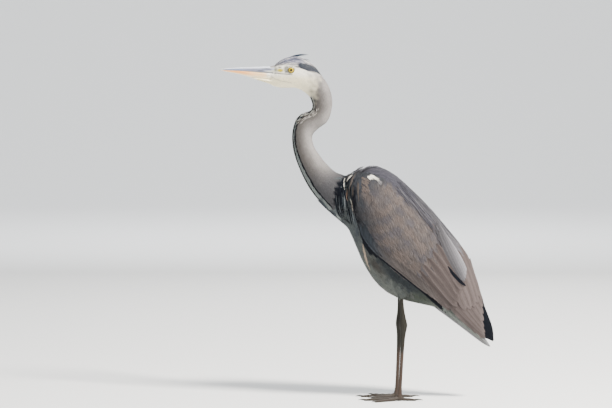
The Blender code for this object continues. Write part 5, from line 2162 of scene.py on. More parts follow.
        # painted shade: the front feathers darkest, paling feather by feather towards the rear
        # as laid() takes them
        made = self.laid((
            (216.0, -90.0, 242.0, -165.0, 279.0, -217.0, 8, 3.4, 4.9, pale * 0.50),
            (219.0, -84.0, 248.0, -158.0, 281.0, -219.0, 9, 3.6, 5.1, pale * 0.66),
            (222.0, -86.0, 255.0, -152.0, 283.0, -217.0, 9, 3.4, 5.3, pale * 0.92),
            (224.0, -90.0, 262.0, -150.0, 285.0, -212.0, 9, 3.2, 5.5, pale * 1.35),
            (226.0, -96.0, 267.0, -150.0, 285.5, -204.0, 8, 3.0, 5.8, pale * 1.6),
            (231.0, -106.0, 271.0, -155.0, 286.0, -196.0, 6, 3.0, 6.0, pale * 1.9),
        ), sign)
        made.root_shade = 0.62
        return made

    def scapulars(self, sign: float) -> Plumes:
        """Long brown inner tertials along the rear edge of the back."""
        pale, brown = np.array(self.marks.dyes.scapular), np.array(self.marks.dyes.tertial)
        grey = 0.5 * (pale + brown)
        # distance down, angle, fall at root and tip in degrees, length, width, lift, tint
        table = (
            (228, 5, 56, 66, 96, 12, 2.9, grey), (240, 14, 57, 67, 104, 13, 2.7, brown),
            (256, 7, 57, 69, 108, 14, 3.0, brown * 1.08), (266, 19, 58, 70, 106, 14, 2.6, brown * 0.95),
            (282, 10, 60, 71, 104, 15, 3.0, brown), (292, 22, 61, 72, 96, 15, 2.4, brown * 1.05),
        )
        along = column(table, 0) * MM
        turn = np.radians(column(table, 1)) * sign
        points = self.trunk.surface(along, turn, np.full(len(table), WING_COAT))
        tint = column(table, 7)
        made = Plumes(
            points, sloping(column(table, 2)), self.trunk_unwrap(Tract(along, turn, points)),
            column(table, 4) * MM, column(table, 5) * MM, (0.0, 0.0), tint, shaft=0.88,
            edge=0.25, edge_tint=np.minimum(tint * 1.5, 0.8), ends=sloping(column(table, 3)),
        )
        self.lay_walked(made, column(table, 6) * MM, 0.4, 9)
        return made

    def shoulder(self) -> None:
        """The black and white plumes that hang over the bend of the wing, and the pale
        patch at its wrist."""
        dyes, groups = self.marks.dyes, []
        white, rust, black = np.array(dyes.white), np.array(dyes.rust), np.array(dyes.black)
        blue, brown = np.array((0.085, 0.095, 0.102)), np.array((0.050, 0.042, 0.038))
        # behind the chest, above it, fall in degrees, length, width, lift, tint
        table = (
            (-6, -22, 66, 52, 7.0, 1.8, black), (-1, -14, 72, 62, 7.0, 2.2, black),
            (7, -4, 80, 78, 7.0, 2.4, black), (18, 12, 86, 92, 7.0, 2.8, black),
            (27, 15, 85, 94, 7.0, 3.0, black), (37, 16, 84, 98, 7.0, 3.2, black),
            (45, 8, 86, 84, 6.5, 3.0, brown * 0.6), (48, 20, 86, 66, 6.5, 3.2, brown * 1.2),
            (53, 8, 84, 54, 6.5, 3.0, brown), (12, 8, 88, 86, 4.6, 4.0, blue),
            (9, -30, 84, 64, 4.0, 3.8, blue * 0.8), (35, 21, 92, 22, 3.0, 4.6, white * 0.62),
            (38, 20, 94, 17, 2.6, 4.4, white * 0.4), (24, 8, 84, 35, 2.9, 4.6, white * 0.6),
            (28, -12, 87, 30, 3.8, 4.4, rust * 1.1), (33, -30, 78, 34, 2.8, 4.6, white * 0.6),
            (36, -44, 80, 26, 2.4, 4.4, rust * 0.8), (38, -62, 87, 34, 3.4, 4.0, blue * 1.5),
            (43, -58, 87, 44, 4.4, 3.4, blue * 0.6), (31, 0, 84, 60, 2.2, 4.2, blue * 0.4),
        )
        for sign in SIDES.values():
            points = self.on_side(column(table, 0) * MM, column(table, 1) * MM, sign)
            made = Plumes(
                points, sloping(column(table, 2)), self.unwrap_at(points),
                column(table, 3) * MM, column(table, 4) * MM, (0.0, 0.0), column(table, 6),
                shaft=0.85, edge=1.25,
            )
            self.lay_walked(made, column(table, 5) * MM, 0.35, 7)
            groups.append((made, PENDANT))
            groups.append((self.shoulder_wisps(sign), LANCET))
            groups.append((self.wrist_patch(sign), DOWNY))
        self.coat.sew("shoulder_plumes", groups, SOFT_PLUMAGE, "dark_plumage")

    def shoulder_wisps(self, sign: float) -> Plumes:
        """Fine black and slate plumes among the long ones of one shoulder."""
        count = 110
        x, z = self.scatter(-8.0, 44.0, count), self.scatter(-58.0, 26.0, count)
        points = self.on_side(x * MM, z * MM, sign)
        # black shoulder plumes, rooted only inside the painted shadow between neck and wing, which they
        # darken further
        keep = self.marks.shoulder_shade(points) > 0.5
        points = points[keep]
        kind = self.scatter(0.0, 1.0, len(points))
        tint = per_row(self.marks.dyes.black, len(points))
        tint = mixed(tint, (0.022, 0.027, 0.032), kind > 0.6)
        tint = mixed(tint, (0.070, 0.075, 0.080), kind > 0.9)
        return Plumes(
            points, sloping(self.scatter(78.0, 90.0, len(points))),
            self.unwrap_at(points),
            self.scatter(28, 50, len(points)) * MM, self.scatter(2.0, 3.6, len(points)) * MM,
            (1.2 * MM, 3.4 * MM), self.vary(tint, 0.15),
        )

    def wrist_patch(self, sign: float) -> Plumes:
        """The small white feathers at the wrist of one wing, rust in front of them."""
        count = 170
        arc = self.scatter(0.0, 1.0, count)
        x = np.interp(arc, (0.0, 0.3, 0.7, 1.0), (71, 78, 87, 97)) + self.scatter(-1.5, 1.5, count)
        z = np.interp(arc, (0.0, 0.3, 0.7, 1.0), (12, 14.5, 10, 0)) + self.scatter(-1.8, 1.8, count)
        rusty = (np.arange(count) % 5 < 2).astype(float)
        x = x * (1.0 - rusty) + self.scatter(57.0, 70.0, count) * rusty
        z = z * (1.0 - rusty) + self.scatter(-16.0, 11.0, count) * rusty
        points = self.on_side(x * MM, z * MM, sign)
        dyes = self.marks.dyes
        tint = per_row(np.array(dyes.white) * 0.72, count)
        tint = mixed(tint, dyes.scapular, 0.95 * step_up(0.45, 0.85, arc))
        salmon = mixed(per_row(dyes.coverts, count), (0.100, 0.077, 0.066), self.scatter(0.0, 1.0, count))
        tint = mixed(tint, salmon, rusty)
        return Plumes(
            points, sloping(self.scatter(34, 62, count)),
            self.unwrap_at(points),
            self.scatter(7, 12, count) * MM, self.scatter(1.6, 2.6, count) * MM,
            (1.5 * MM, 2.5 * MM), self.vary(tint, 0.12), root_shade=0.9,
        )

    def tail(self) -> None:
        """The closed tail, above and below its core."""
        groups, count = [], 7
        share, across = np.linspace(0.0, 0.985, 7), np.linspace(-1.0, 1.0, count)
        for face in (1.0, -1.0):
            lines, ups = [], []
            for k, place in enumerate(across):
                along = (352.0 + 149.0 * share) * MM
                half = 14.0 * (1.0 - share) ** 1.2 + 3.1 - 1.5 * share**6
                lean = 0.8 * place
                side = (19.0 + 5.0 * share - 10.0 * share**9) * np.sin(lean)
                over = (-24.0 + 9.0 * share) + face * half * math.cos(lean) - 0.25 * face * (k % 2)
                line = self.trunk.chest + np.outer(along, ALONG_BODY) + np.outer(over * MM, OVER_BODY)
                line[:, 1] += side * MM
                lines.append(line)
                tilt = OVER_BODY * face * math.cos(lean) + np.array((0.0, math.sin(lean), 0.0))
                ups.append(per_row(tilt, len(share)))
            lines, ups = np.array(lines), np.array(ups)
            tint = self.vary(per_row(self.marks.dyes.tail, count), 0.05)
            made = Plumes(
                lines[:, 0], per_row(ALONG_BODY, count),
                np.column_stack((np.full(count, 0.8), 0.5 + 0.05 * across + 0.2 * face)),
                147 * MM, 11.5 * MM, (0.0, 0.0), tint, shaft=0.85, edge=0.8, edge_tint=tint * 1.5,
            )
            made.lines = (lines, ups, np.broadcast_to(ALONG_BODY, lines.shape))
            groups.append((made, TAIL))
        piece = self.coat.sew("tail_feathers", groups, QUILL_PLUMAGE, "wing_plumage")
        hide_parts("tail")

    def build(self) -> None:
        """Every tract in turn."""
        self.face_and_crown()
        self.crest()
        self.neck_feathers()
        self.foreneck()
        self.belly()
        self.thighs()
        self.mantle()
        self.coverts()
        self.flight_feathers()
        self.shoulder()
        self.tail()


def pick(plumes: Plumes, keep: Array) -> Plumes:
    """Only the feathers of a tract that a mask keeps."""
    edge_tint = None if plumes.edge_tint is None else plumes.edge_tint[keep]
    return Plumes(
        plumes.roots[keep], plumes.ways[keep], plumes.unwrap[keep], plumes.length[keep],
        plumes.width[keep], plumes.lift, plumes.tint[keep], plumes.shaft[keep],
        plumes.edge[keep], edge_tint, plumes.root_shade, rise=plumes.rise[keep],
    )


# ------------------------------------------------------------------ bare parts


@dataclass
class Bill:
    """The two mandibles, with their nostrils and the line of the gape."""

    tip_x: float
    base_x: float
    palette: Palette
    around: int = 40
    rings: int = 72
    into_head: float = 0.12
    crease: float = 60.0

    def lines(self, share: Array) -> tuple[Array, Array, Array, Array]:
        """Heights of ridge, gape and keel, and the half width, from tip to base."""
        share = np.minimum(share, 1.0 + self.into_head)
        ridge = 726.0 + 7.8 * share**0.42
        gape = 725.3 - 2.5 * share - 5.0 * share**2.2
        keel = 724.9 - 21.0 * share - 9.0 * share**2 + 22.0 * np.maximum(0.0, share - 0.6)
        half = 0.8 + 3.6 * share**0.75 + 4.6 * share**1.6
        return ridge, gape, keel, half

    def upper_ring(self, share: float) -> tuple[Array, Array]:
        """The upper mandible's section: a ridge over sides that end square at the gape."""
        ridge, gape, _, half = self.lines(np.array(share))
        turn = full_turn(self.around)
        tall = ridge - gape - 0.25
        middle = gape + 0.25 + 0.3 * tall
        rise, reach = np.cos(turn), np.sin(turn)
        power = np.where(rise > 0.0, 2.0 / 1.75, 2.0 / 3.2)
        z = middle + np.where(rise > 0, 0.7, 0.3) * tall * np.sign(rise) * np.abs(rise) ** power
        y = half * np.sign(reach) * np.abs(reach) ** np.where(rise > 0.0, 1.05, 2.0 / 3.2)
        groove = hump(0.80, 0.26, share) * hump(0.62, 0.2, (z - gape) / tall)
        slit = hump(0.87, 0.12, share) * hump(0.60, 0.12, (z - gape) / tall)
        y -= np.sign(y) * (0.5 * groove + 1.1 * slit)
        return y, z

    def lower_ring(self, share: float) -> tuple[Array, Array]:
        """The lower mandible's section: square at the gape, rounded to the keel."""
        _, gape, keel, half = self.lines(np.array(share))
        turn = full_turn(self.around)
        tall = gape - 0.25 - keel
        middle = gape - 0.25 - 0.28 * tall
        rise, reach = np.cos(turn), np.sin(turn)
        power = np.where(rise > 0.0, 2.0 / 3.2, 2.0 / 1.9)
        z = middle + np.where(rise > 0, 0.28, 0.72) * tall * np.sign(rise) * np.abs(rise) ** power
        y = 0.94 * half * np.sign(reach) * np.abs(reach) ** np.where(rise > 0.0, 2.0 / 3.2, 1.0)
        seam = hump(0.62, 0.14, (z - keel) / max(tall, 1e-6)) * step_up(0.25, 0.6, share)
        y -= np.sign(y) * 0.22 * seam
        return y, z

    def rim(self, draw: np.random.Generator, count: int) -> tuple[Array, Array]:
        """Places round the base of the bill where feathers overlap it.

        Args:
            draw: the source of the places.
            count: how many.

        Returns:
            The places and the directions outwards.
        """
        places, outs = [], []
        for _ in range(count):
            lower = draw.uniform() < 0.85
            share = 0.96 - draw.uniform(0.0, 0.03)
            if lower:
                share -= 0.075 * draw.uniform() ** 1.5
            y, z = self.lower_ring(share) if lower else self.upper_ring(share)
            reach = draw.uniform(0.32, 1.0) if lower else draw.uniform(0.0, 0.26)
            k = int(0.5 * reach * self.around) * (1 if draw.uniform() < 0.5 else -1)
            middle = 0.5 * (z.max() + z.min())
            x = self.tip_x + (self.base_x - self.tip_x) * share
            places.append((x, y[k] * MM, z[k] * MM))
            outs.append((0.0, y[k], 0.6 * (z[k] - middle)))
        return np.array(places), unit(np.array(outs))

    @staticmethod
    def tint(share: Array, level: Array, upper: bool) -> Array:
        """The colours of a mandible.

        Args:
            share: how far along from the tip.
            level: height as a share of the mandible's own height.
            upper: whether it is the upper one.

        Returns:
            One colour for each point.
        """
        if upper:
            tint = per_row((0.21, 0.22, 0.29), len(share))
            tint = mixed(tint, (0.15, 0.19, 0.30), hump(0.30, 0.28, share) * hump(0.45, 0.4, level))
            # painted highlight: the top of the upper mandible is pale bluish horn, lightened further into a
            # highlight along the ridge
            tint = mixed(tint, (0.58, 0.62, 0.68), step_up(0.58, 0.90, level))
            groove = hump(0.42, 0.24, level) * hump(0.66, 0.30, share)
            tint = mixed(tint, (0.10, 0.105, 0.14), 0.7 * groove)
            slit = step_up(0.0, 0.4, hump(0.87, 0.13, share) * hump(0.60, 0.13, level))
            tint = mixed(tint, (0.022, 0.025, 0.036), 0.95 * slit)
            second = step_up(0.0, 0.5, hump(0.76, 0.10, share) * hump(0.26, 0.13, level))
            tint = mixed(tint, (0.05, 0.055, 0.07), 0.8 * second)
            tint = mixed(tint, (0.46, 0.47, 0.42), step_up(0.80, 0.92, share) * hump(0.24, 0.2, level))
            tint = mixed(tint, (0.05, 0.05, 0.065), 0.7 * step_up(0.14, 0.04, level))
            tint = mixed(tint, (0.42, 0.41, 0.33), step_up(0.93, 1.0, share) * hump(0.35, 0.3, level))
            return mixed(tint, (0.46, 0.46, 0.45), step_up(0.10, 0.0, share))
        tint = per_row((0.78, 0.34, 0.10), len(share))
        tint = mixed(tint, (0.84, 0.58, 0.31), step_up(0.40, 0.78, share))
        tint = mixed(tint, (0.88, 0.79, 0.56), 0.8 * step_up(0.5, 0.1, level))
        tint = mixed(tint, (0.88, 0.82, 0.66), step_up(0.78, 0.97, share))
        tint = mixed(tint, (0.50, 0.26, 0.12), 0.6 * hump(0.62, 0.16, level) * hump(0.84, 0.22, share))
        return mixed(tint, (0.70, 0.62, 0.52), step_up(0.08, 0.0, share))

    def build(self, name: str, finish: HideFinish, upper: bool) -> None:
        """One mandible, lofted from its tip into the head."""
        shares = np.linspace(0.0, 1.0, self.rings) ** 1.15 * (1.0 + self.into_head)
        shares = np.maximum(shares, 0.0015) if upper else 0.015 + 0.985 * shares
        rows, tints = [], []
        for share in shares:
            y, z = self.upper_ring(share) if upper else self.lower_ring(share)
            ridge, gape, keel, _ = self.lines(np.array(share))
            bottom, top = (gape, ridge) if upper else (keel, gape)
            x = self.tip_x + (self.base_x - self.tip_x) * share
            rows.append(np.column_stack((np.full(len(y), x), y * MM, z * MM)))
            level = (z - bottom) / max(float(top - bottom), 1e-6)
            tints.append(self.tint(np.full(len(y), share), level, upper))
        mesh = mesh_from(name, np.concatenate(rows), tube_faces(self.rings, self.around))
        mesh.set_sharp_from_angle(angle=math.radians(self.crease))
        store_tint(mesh, np.concatenate(tints))
        made = new_object(name, mesh, finish.build(self.palette))
        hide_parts("bill_upper" if upper else "bill_lower")


@dataclass
class Eyes:
    """Both eyeballs and the lids that ring them."""

    centre: Array
    palette: Palette
    radius: float = 9.3 * MM
    iris: float = 6.3 * MM
    pupil: float = 2.7 * MM

    def ball(self, side: str) -> None:
        """One eyeball with its iris, pupil and bulging cornea."""
        sign = SIDES[side]
        rings, around = 72, 72
        lean = np.concatenate((np.linspace(0.01, 0.9, 52), np.linspace(0.93, math.pi - 0.01, rings - 52)))
        turn = full_turn(around)
        t, a = np.meshgrid(lean, turn, indexing="ij")
        far = self.radius * (1.0 + 0.03 * np.exp(-((t / 0.45) ** 2)))
        x = self.centre[0] + far * np.sin(t) * np.cos(a)
        z = self.centre[2] + far * np.sin(t) * np.sin(a)
        y = sign * (self.centre[1] + far * np.cos(t))
        points = np.stack((x, y, z), -1).reshape(-1, 3)
        out = (self.radius * np.sin(t)).ravel()
        spoke = 0.5 + 0.5 * np.sin(a * 37.0 + 3.0 * np.sin(a * 11.0)).ravel()
        inner = step_up(self.pupil * 0.94, self.pupil * 1.06, out)
        outer = step_up(self.iris * 0.80, self.iris * 1.0, out)
        tint = per_row((0.36, 0.25, 0.003), len(out))
        tint = mixed(tint, (0.22, 0.10, 0.002), 0.5 * spoke * step_up(0.3, 0.9, out / self.iris))
        tint = mixed(tint, (0.48, 0.37, 0.008), 0.5 * hump(0.62, 0.3, out / self.iris) * (1.0 - spoke))
        tint = mixed(tint, (0.03, 0.02, 0.006), outer)
        tint = mixed(per_row((0.004, 0.004, 0.004), len(out)), tint, inner)
        front = (np.cos(t) < 0.0).ravel()
        tint[front] = (0.2, 0.17, 0.12)
        faces = tube_faces(rings, around)
        if sign > 0:
            faces = [rows[:, ::-1] for rows in faces]
        mesh = mesh_from(f"eyeball_{side}", points, faces)
        store_tint(mesh, tint)
        finish = HideFinish(f"wet_iris_{side}", Sheen.WET, 900.0, 0.12, 0.01 * MM)
        made = new_object(f"eyeball_{side}", mesh, finish.build(self.palette))
        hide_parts(f"eye_{side}")

    def lids(self, side: str) -> None:
        """The bare rolled rim round one eye."""
        sign = SIDES[side]
        around = 72
        turn = full_turn(around)
        opening = 0.735 - 0.05 * np.sin(turn) ** 2 - 0.03 * np.sin(turn) + 0.03 * np.cos(2 * turn)
        # lean from the edge of the opening in radians, and stand-out from the ball in mm
        profile = (
            (-0.03, 0.03), (0.0, 0.4), (0.05, 0.65), (0.11, 0.6), (0.17, 0.35), (0.28, 0.2),
            (0.42, 0.1), (0.56, -0.1), (0.68, -0.9), (0.5, -2.2), (0.2, -1.6), (0.0, -0.4),
        )
        wrinkle = 0.06 * np.sin(turn * 29.0)
        rows = []
        for lean, out in profile:
            far = self.radius + (out + wrinkle * (lean > 0.03)) * MM
            angle = opening + lean
            rows.append(
                np.column_stack((
                    self.centre[0] + far * np.sin(angle) * np.cos(turn),
                    sign * (self.centre[1] + far * np.cos(angle)),
                    self.centre[2] + far * np.sin(angle) * np.sin(turn),
                ))
            )
        points = np.concatenate(rows)
        ring, k = np.meshgrid(np.arange(len(profile)), np.arange(around), indexing="ij")
        after, below = (k + 1) % around, (ring + 1) % len(profile)
        quads = np.stack(
            (ring * around + k, ring * around + after, below * around + after, below * around + k), -1
        ).reshape(-1, 4)
        mesh = mesh_from(f"eyelid_{side}", points, [quads if sign < 0 else quads[:, ::-1]])
        lean = np.repeat(column(profile, 0), around)
        tint = per_row((0.035, 0.032, 0.025), len(points))
        tint = mixed(tint, (0.42, 0.40, 0.24), step_up(0.05, 0.12, lean))
        store_tint(mesh, mixed(tint, (0.55, 0.53, 0.46), step_up(0.14, 0.3, lean)))
        finish = HideFinish(f"eyelid_skin_{side}", Sheen.HIDE, 1400.0, 0.25, 0.05 * MM)
        new_object(f"eyelid_{side}", mesh, finish.build(self.palette))

    def build(self) -> None:
        """Both eyes."""
        for side in SIDES:
            self.ball(side)
            self.lids(side)


TOE_AROUND = 24


@dataclass
class Leg:
    """One bare leg from the thigh's feathers to the claws."""

    side: str
    feet_x: float
    palette: Palette
    foot_x: float
    heel_x: float
    hip_x: float
    spread: float = 30.0
    heel_height: float = 167.0
    hip_height: float = 224.0

    def bone(self, height: Array) -> Array:
        """Where the leg's line lies at heights in mm, as points in metres."""
        height = np.asarray(height, float)
        low = self.foot_x + (self.heel_x - self.foot_x) * height / self.heel_height
        rise = (height - self.heel_height) / (self.hip_height - self.heel_height)
        high = self.heel_x + (self.hip_x - self.heel_x) * rise
        x = np.where(height >= self.heel_height, high, low) * MM + self.feet_x
        y = np.full(len(height), SIDES[self.side] * self.spread * MM)
        return np.column_stack((x, y, height * MM))

    def shaft(self) -> None:
        """Shank, heel and tarsus in one, ringed with broad scales in front."""
        # height, half depth and half width of the leg, in mm
        table = np.array((
            (232.0, 4.6, 4.2), (215.0, 4.3, 3.8), (200.0, 4.6, 4.0), (184.0, 6.1, 4.7),
            (174.0, 7.8, 5.8), (166.0, 8.4, 6.5), (158.0, 7.6, 6.0), (151.0, 6.3, 5.0),
            (138.0, 5.0, 4.0), (112.0, 4.1, 3.4), (70.0, 3.75, 3.2), (34.0, 3.8, 3.35),
            (20.0, 4.5, 4.0), (11.0, 5.4, 5.0), (5.0, 6.2, 5.9),
        ))[::-1]
        rings, around = 300, 36
        height = np.linspace(232.0, 5.0, rings)
        here = eased(table[:, 0], table, height)
        turn = full_turn(around)
        ahead, side = np.cos(turn)[None], np.sin(turn)[None]
        front = step_up(0.15, 0.75, ahead)
        pitch = 5.2
        wave = (height[:, None] / pitch + 0.25 * np.abs(side)) % 1.0
        lip = front * (0.26 * wave**2 - 0.34 * step_up(0.88, 1.0, wave))
        back = (1.0 - front) * 0.10 * np.sin(height[:, None] * 2.6) * np.sin(turn * 9.0)[None]
        relief = (lip + back) * step_up(232.0, 222.0, height)[:, None]
        spine = self.bone(height)
        x = spine[:, :1] - (here[:, 1:2] + relief) * ahead * MM
        y = spine[:, 1:2] + (here[:, 2:3] + relief) * side * MM
        z = np.repeat(spine[:, 2:3], around, 1)
        points = np.stack((x, y, z), -1).reshape(-1, 3)
        mesh = mesh_from(f"leg_{self.side}", points, tube_faces(rings, around))
        store_tint(mesh, self.tint(points, (lip < -0.02).ravel()))
        made = new_object(
            f"leg_{self.side}", mesh, self.finish("leg").build(self.palette)
        )
        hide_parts(f"shank_{self.side}", f"tarsus_{self.side}")

    def finish(self, part: str) -> HideFinish:
        """The scaly hide of a part of the leg."""
        return HideFinish(f"{part}_hide_{self.side}", Sheen.HIDE, 420.0, 0.5, 0.22 * MM, 620.0, 0.3)

    @staticmethod
    def tint(points: Array, seam: Array) -> Array:
        """Leg colours: dark above, pinkish grey lower down, darker in the seams."""
        height = points[:, 2] / MM
        tint = per_row((0.010, 0.0085, 0.005), len(points))
        grey = step_up(118.0, 98.0, height + 6.0 * clouds(points, 10 * MM, 41))
        tint = mixed(tint, (0.040, 0.025, 0.018), 0.85 * grey)
        tint = mixed(tint, (0.028, 0.023, 0.018), step_up(16.0, 4.0, height) * 0.8)
        return mixed(tint, tint * 0.45, seam * 0.8)

    @staticmethod
    def toes() -> tuple[tuple[str, float, float, float, float], ...]:
        """Name, length, claw, pads and turn of each toe."""
        return (
            ("middle", 78.0, 13.0, 4.0, 2.0), ("outer", 64.0, 11.0, 4.0, 33.0),
            ("inner", 56.0, 12.0, 3.0, -21.0), ("hind", 36.0, 17.0, 2.0, 172.0),
        )

    def heading(self, turn: float) -> Array:
        """The level direction in which a toe points."""
        angle = math.radians(turn)
        return np.array((-math.cos(angle), SIDES[self.side] * math.sin(angle), 0.0))

    def swept(self, turn: float, root: Array, reach: Array, y: Array, z: Array) -> Array:
        """Points along a toe's heading.

        Args:
            turn: the toe's turn in degrees.
            root: where it starts.
            reach: how far along it each ring lies, in mm.
            y: places across it, in mm.
            z: heights over the floor, in mm.

        Returns:
            The points, by ring.
        """
        heading = self.heading(turn)
        across = np.array((-heading[1], heading[0], 0.0))
        middle = root + (heading * MM)[None, None] * reach[..., None]
        return middle + across * (y * MM)[..., None] + UP * (z * MM)[..., None]

    def toe_tube(self, length: float, pads: float, turn: float, root: Array) -> Array:
        """The rings of one toe with pads beneath and scales on top."""
        share = np.linspace(0.0, 1.0, 90)[:, None]
        angle = full_turn(TOE_AROUND)[None]
        pad = 0.35 * np.sin(math.pi * (0.25 + pads * share)) ** 2
        half = 3.85 - 1.5 * share + pad
        scale = (share * length / 2.6) % 1.0
        top = step_up(0.2, 0.8, np.cos(angle))
        relief = top * (0.16 * scale - 0.22 * step_up(0.85, 1.0, scale))
        rise = 3.2 * (1.0 - share) ** 3 * np.maximum(0.0, 1.0 - 2.0 * share)
        z = np.maximum(0.0, 0.86 * half + rise + (half + relief) * np.cos(angle))
        y = 1.03 * (half + relief) * np.sin(angle)
        return self.swept(turn, root, share * length, y, z)

    def foot(self) -> None:
        """Four toes grown together under the ankle."""
        builder = bmesh.new()
        root = self.bone(np.array((0.0,)))[0]
        tubes = [self.toe_tube(length, pads, turn, root) for _, length, _, pads, turn in self.toes()]
        height = np.linspace(14.0, 0.0, 12)
        wide = np.interp(height, (0.0, 4.0, 8.5, 12.0, 14.0), (5.6, 7.0, 6.4, 5.4, 5.2))
        angle = full_turn(TOE_AROUND)
        hub = np.stack((
            root[0] - np.outer(wide, np.cos(angle)) * MM,
            root[1] + 0.94 * np.outer(wide, np.sin(angle)) * MM,
            np.repeat(height[:, None], TOE_AROUND, 1) * MM,
        ), -1)
        for tube in [*tubes, hub]:
            part = mesh_from("toe", tube.reshape(-1, 3), tube_faces(tube.shape[0], tube.shape[1]))
            builder.from_mesh(part)
        bmesh.ops.recalc_face_normals(builder, faces=builder.faces)
        mesh = bpy.data.meshes.new("foot")
        builder.to_mesh(mesh)
        builder.free()
        mesh = remeshed(mesh, 0.75 * MM)
        points = smoothed(mesh, points_of(mesh), 2)
        points[:, 2] = np.maximum(points[:, 2], 0.0)
        move_points(mesh, points)
        mesh.shade_smooth()
        store_tint(mesh, self.tint(points, np.zeros(len(points))))
        mesh.name = f"toes_{self.side}"
        made = new_object(f"toes_{self.side}", mesh, self.finish("foot").build(self.palette))
        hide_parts(f"foot_{self.side}")

    def claws(self) -> None:
        """The curved claw of each toe."""
        root = self.bone(np.array((0.0,)))[0]
        finish = HideFinish(f"claw_horn_{self.side}", Sheen.HORN, 700.0, 0.4, 0.06 * MM)
        material = finish.build(self.palette)
        rings, around = 26, 18
        share, angle = np.linspace(0.0, 1.0, rings)[:, None], full_turn(around)[None]
        for name, length, claw, _, turn in self.toes():
            half = 2.0 * (1.0 - share) ** 0.8 + 0.25
            middle = 2.5 + 1.5 * np.sin(2.3 * share) - 1.6 * share**2
            z = np.maximum(0.0, middle + half * np.cos(angle))
            y = 0.7 * half * np.sin(angle)
            points = self.swept(turn, root, length - 1.6 + (claw + 1.6) * share, y, z)
            mesh = mesh_from(f"nail_{self.side}_{name}", points.reshape(-1, 3), tube_faces(rings, around))
            tone = per_row((0.016, 0.013, 0.010), rings * around)
            tone = mixed(tone, (0.06, 0.05, 0.04), np.repeat(share.ravel(), around) ** 3)
            store_tint(mesh, tone)
            made = new_object(f"nail_{self.side}_{name}", mesh, material)
            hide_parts(f"claw_{self.side}_{name}")

    def build(self) -> None:
        """The whole leg."""
        self.shaft()
        self.foot()
        self.claws()


# ------------------------------------------------------------------ studio


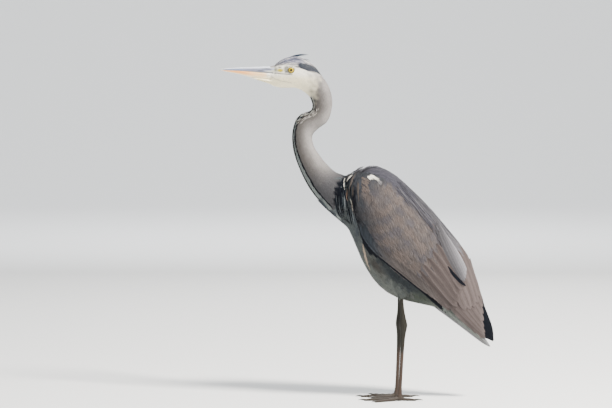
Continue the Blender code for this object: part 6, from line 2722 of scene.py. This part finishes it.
@dataclass
class Studio:
    """The plain pale floor, the soft lights and the camera."""

    distance: float = 6.0
    view_width: float = 1.3464
    aim: tuple[float, float, float] = (-0.1134, 0.0, 0.4312)
    elevation: float = 3.0
    sensor: float = 36.0

    def camera(self) -> None:
        """A long lens, level with the bird and square to its left side."""
        rise = math.radians(self.elevation)
        made = bpy.data.cameras.new("camera")
        made.sensor_width = self.sensor
        made.lens = self.sensor * self.distance / self.view_width
        made.clip_end = 100.0
        holder = linked("camera", made)
        back = Vector((0.0, -math.cos(rise), math.sin(rise)))
        holder.location = Vector(self.aim) + back * self.distance
        holder.rotation_euler = (-back).to_track_quat("-Z", "Y").to_euler()
        bpy.context.scene.camera = holder

    @staticmethod
    def floor() -> None:
        """A floor that curves up far off, so that no edge shows."""
        level, bend = 8.0, 5.0
        radii = np.concatenate((np.linspace(0.0, level, 9)[1:], np.linspace(8.3, level + bend, 16)))
        curve = bend - np.sqrt(np.maximum(0.0, bend**2 - (radii - level) ** 2))
        rise = np.where(radii > level, curve, 0.0)
        around = 96
        turn = full_turn(around)
        rows = [
            np.column_stack((r * np.cos(turn), r * np.sin(turn), np.full(around, z)))
            for r, z in zip(radii, rise)
        ]
        quads = tube_faces(len(radii), around)[0]
        middle = np.arange(around)[::-1][None]
        mesh = mesh_from("floor", np.concatenate(rows), [quads, middle])
        made = linked("floor", mesh)
        paint, nodes, shader = Palette.blank("floor_paint", Sheen.MATT)
        noise = nodes.add("ShaderNodeTexNoise", {"Scale": 3.0})
        colour = nodes.blend(noise.outputs["Fac"], (0.80, 0.805, 0.80), (0.83, 0.835, 0.83))
        nodes.join(colour, shader.inputs["Base Color"])
        mesh.materials.append(paint)

    @staticmethod
    def light(
        name: str, place: tuple, size: float, power: float, tone: tuple,
        target: tuple[float, float, float] = (0.0, 0.0, 0.4),
    ) -> None:
        """A square soft light that looks at the bird, or at another target."""
        lamp = bpy.data.lights.new(name, "AREA")
        lamp.size = size
        lamp.energy = power
        lamp.color = tone
        holder = linked(name, lamp)
        holder.location = place
        aim = Vector(target) - Vector(place)
        holder.rotation_euler = aim.to_track_quat("-Z", "Y").to_euler()

    def build(self) -> None:
        """Camera, floor, sky and lights."""
        self.camera()
        self.floor()
        world = bpy.data.worlds.new("studio")
        world.use_nodes = True
        sky = world.node_tree.nodes["Background"]
        sky.inputs["Color"].default_value = (0.92, 0.96, 1.0, 1.0)
        sky.inputs["Strength"].default_value = 0.85
        bpy.context.scene.world = world
        self.light("key", (1.9, -1.7, 3.2), 0.8, 580.0, (1.0, 0.955, 0.89))
        self.light("fill", (-2.6, -3.4, 1.6), 2.4, 40.0, (0.93, 0.97, 1.0))
        self.light("rim", (0.6, 3.0, 2.6), 1.6, 90.0, (1.0, 0.98, 0.95))
        self.light("backdrop", (0.0, 4.0, 3.4), 3.0, 420.0, (0.97, 0.98, 1.0), (0.0, 11.0, 2.6))


# ------------------------------------------------------------------ the whole bird


def main() -> None:
    """Builds skin, plumage, bill, eyes, legs and studio."""
    logging.basicConfig(level=logging.INFO, format="%(name)s %(message)s")
    low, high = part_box("eye_left")
    shift = 0.5 * (low.x + high.x) - EYE_FROM_FEET
    eye = np.array((0.5 * (low.x + high.x), EYE_ASIDE, 0.5 * (low.z + high.z)))
    neck, trunk = NeckForm(shift), TrunkForm(shift)
    marks = Markings(neck, trunk, eye)
    palette = Palette()
    skin = Skin(marks).build(HideFinish("downy_skin", Sheen.DOWN, 300.0, 0.25, 0.3 * MM).build(palette))
    bill = Bill(BILL_TIP + shift, BILL_BASE + shift, palette)
    Plumage(neck, trunk, QuillForm(trunk), marks, Coat(skin, palette), bill).build()
    bill.build("mandible_upper", HideFinish("slate_horn", Sheen.HORN, 260.0, 0.22, 0.05 * MM), True)
    bill.build("mandible_lower", HideFinish("peach_horn", Sheen.HORN, 260.0, 0.18, 0.05 * MM), False)
    Eyes(eye, palette).build()
    Leg("left", shift, palette, foot_x=0.7, heel_x=9.5, hip_x=4.4).build()
    Leg("right", shift, palette, foot_x=-3.9, heel_x=2.9, hip_x=2.6).build()
    Studio().build()


if __name__ == "__main__":
    main()
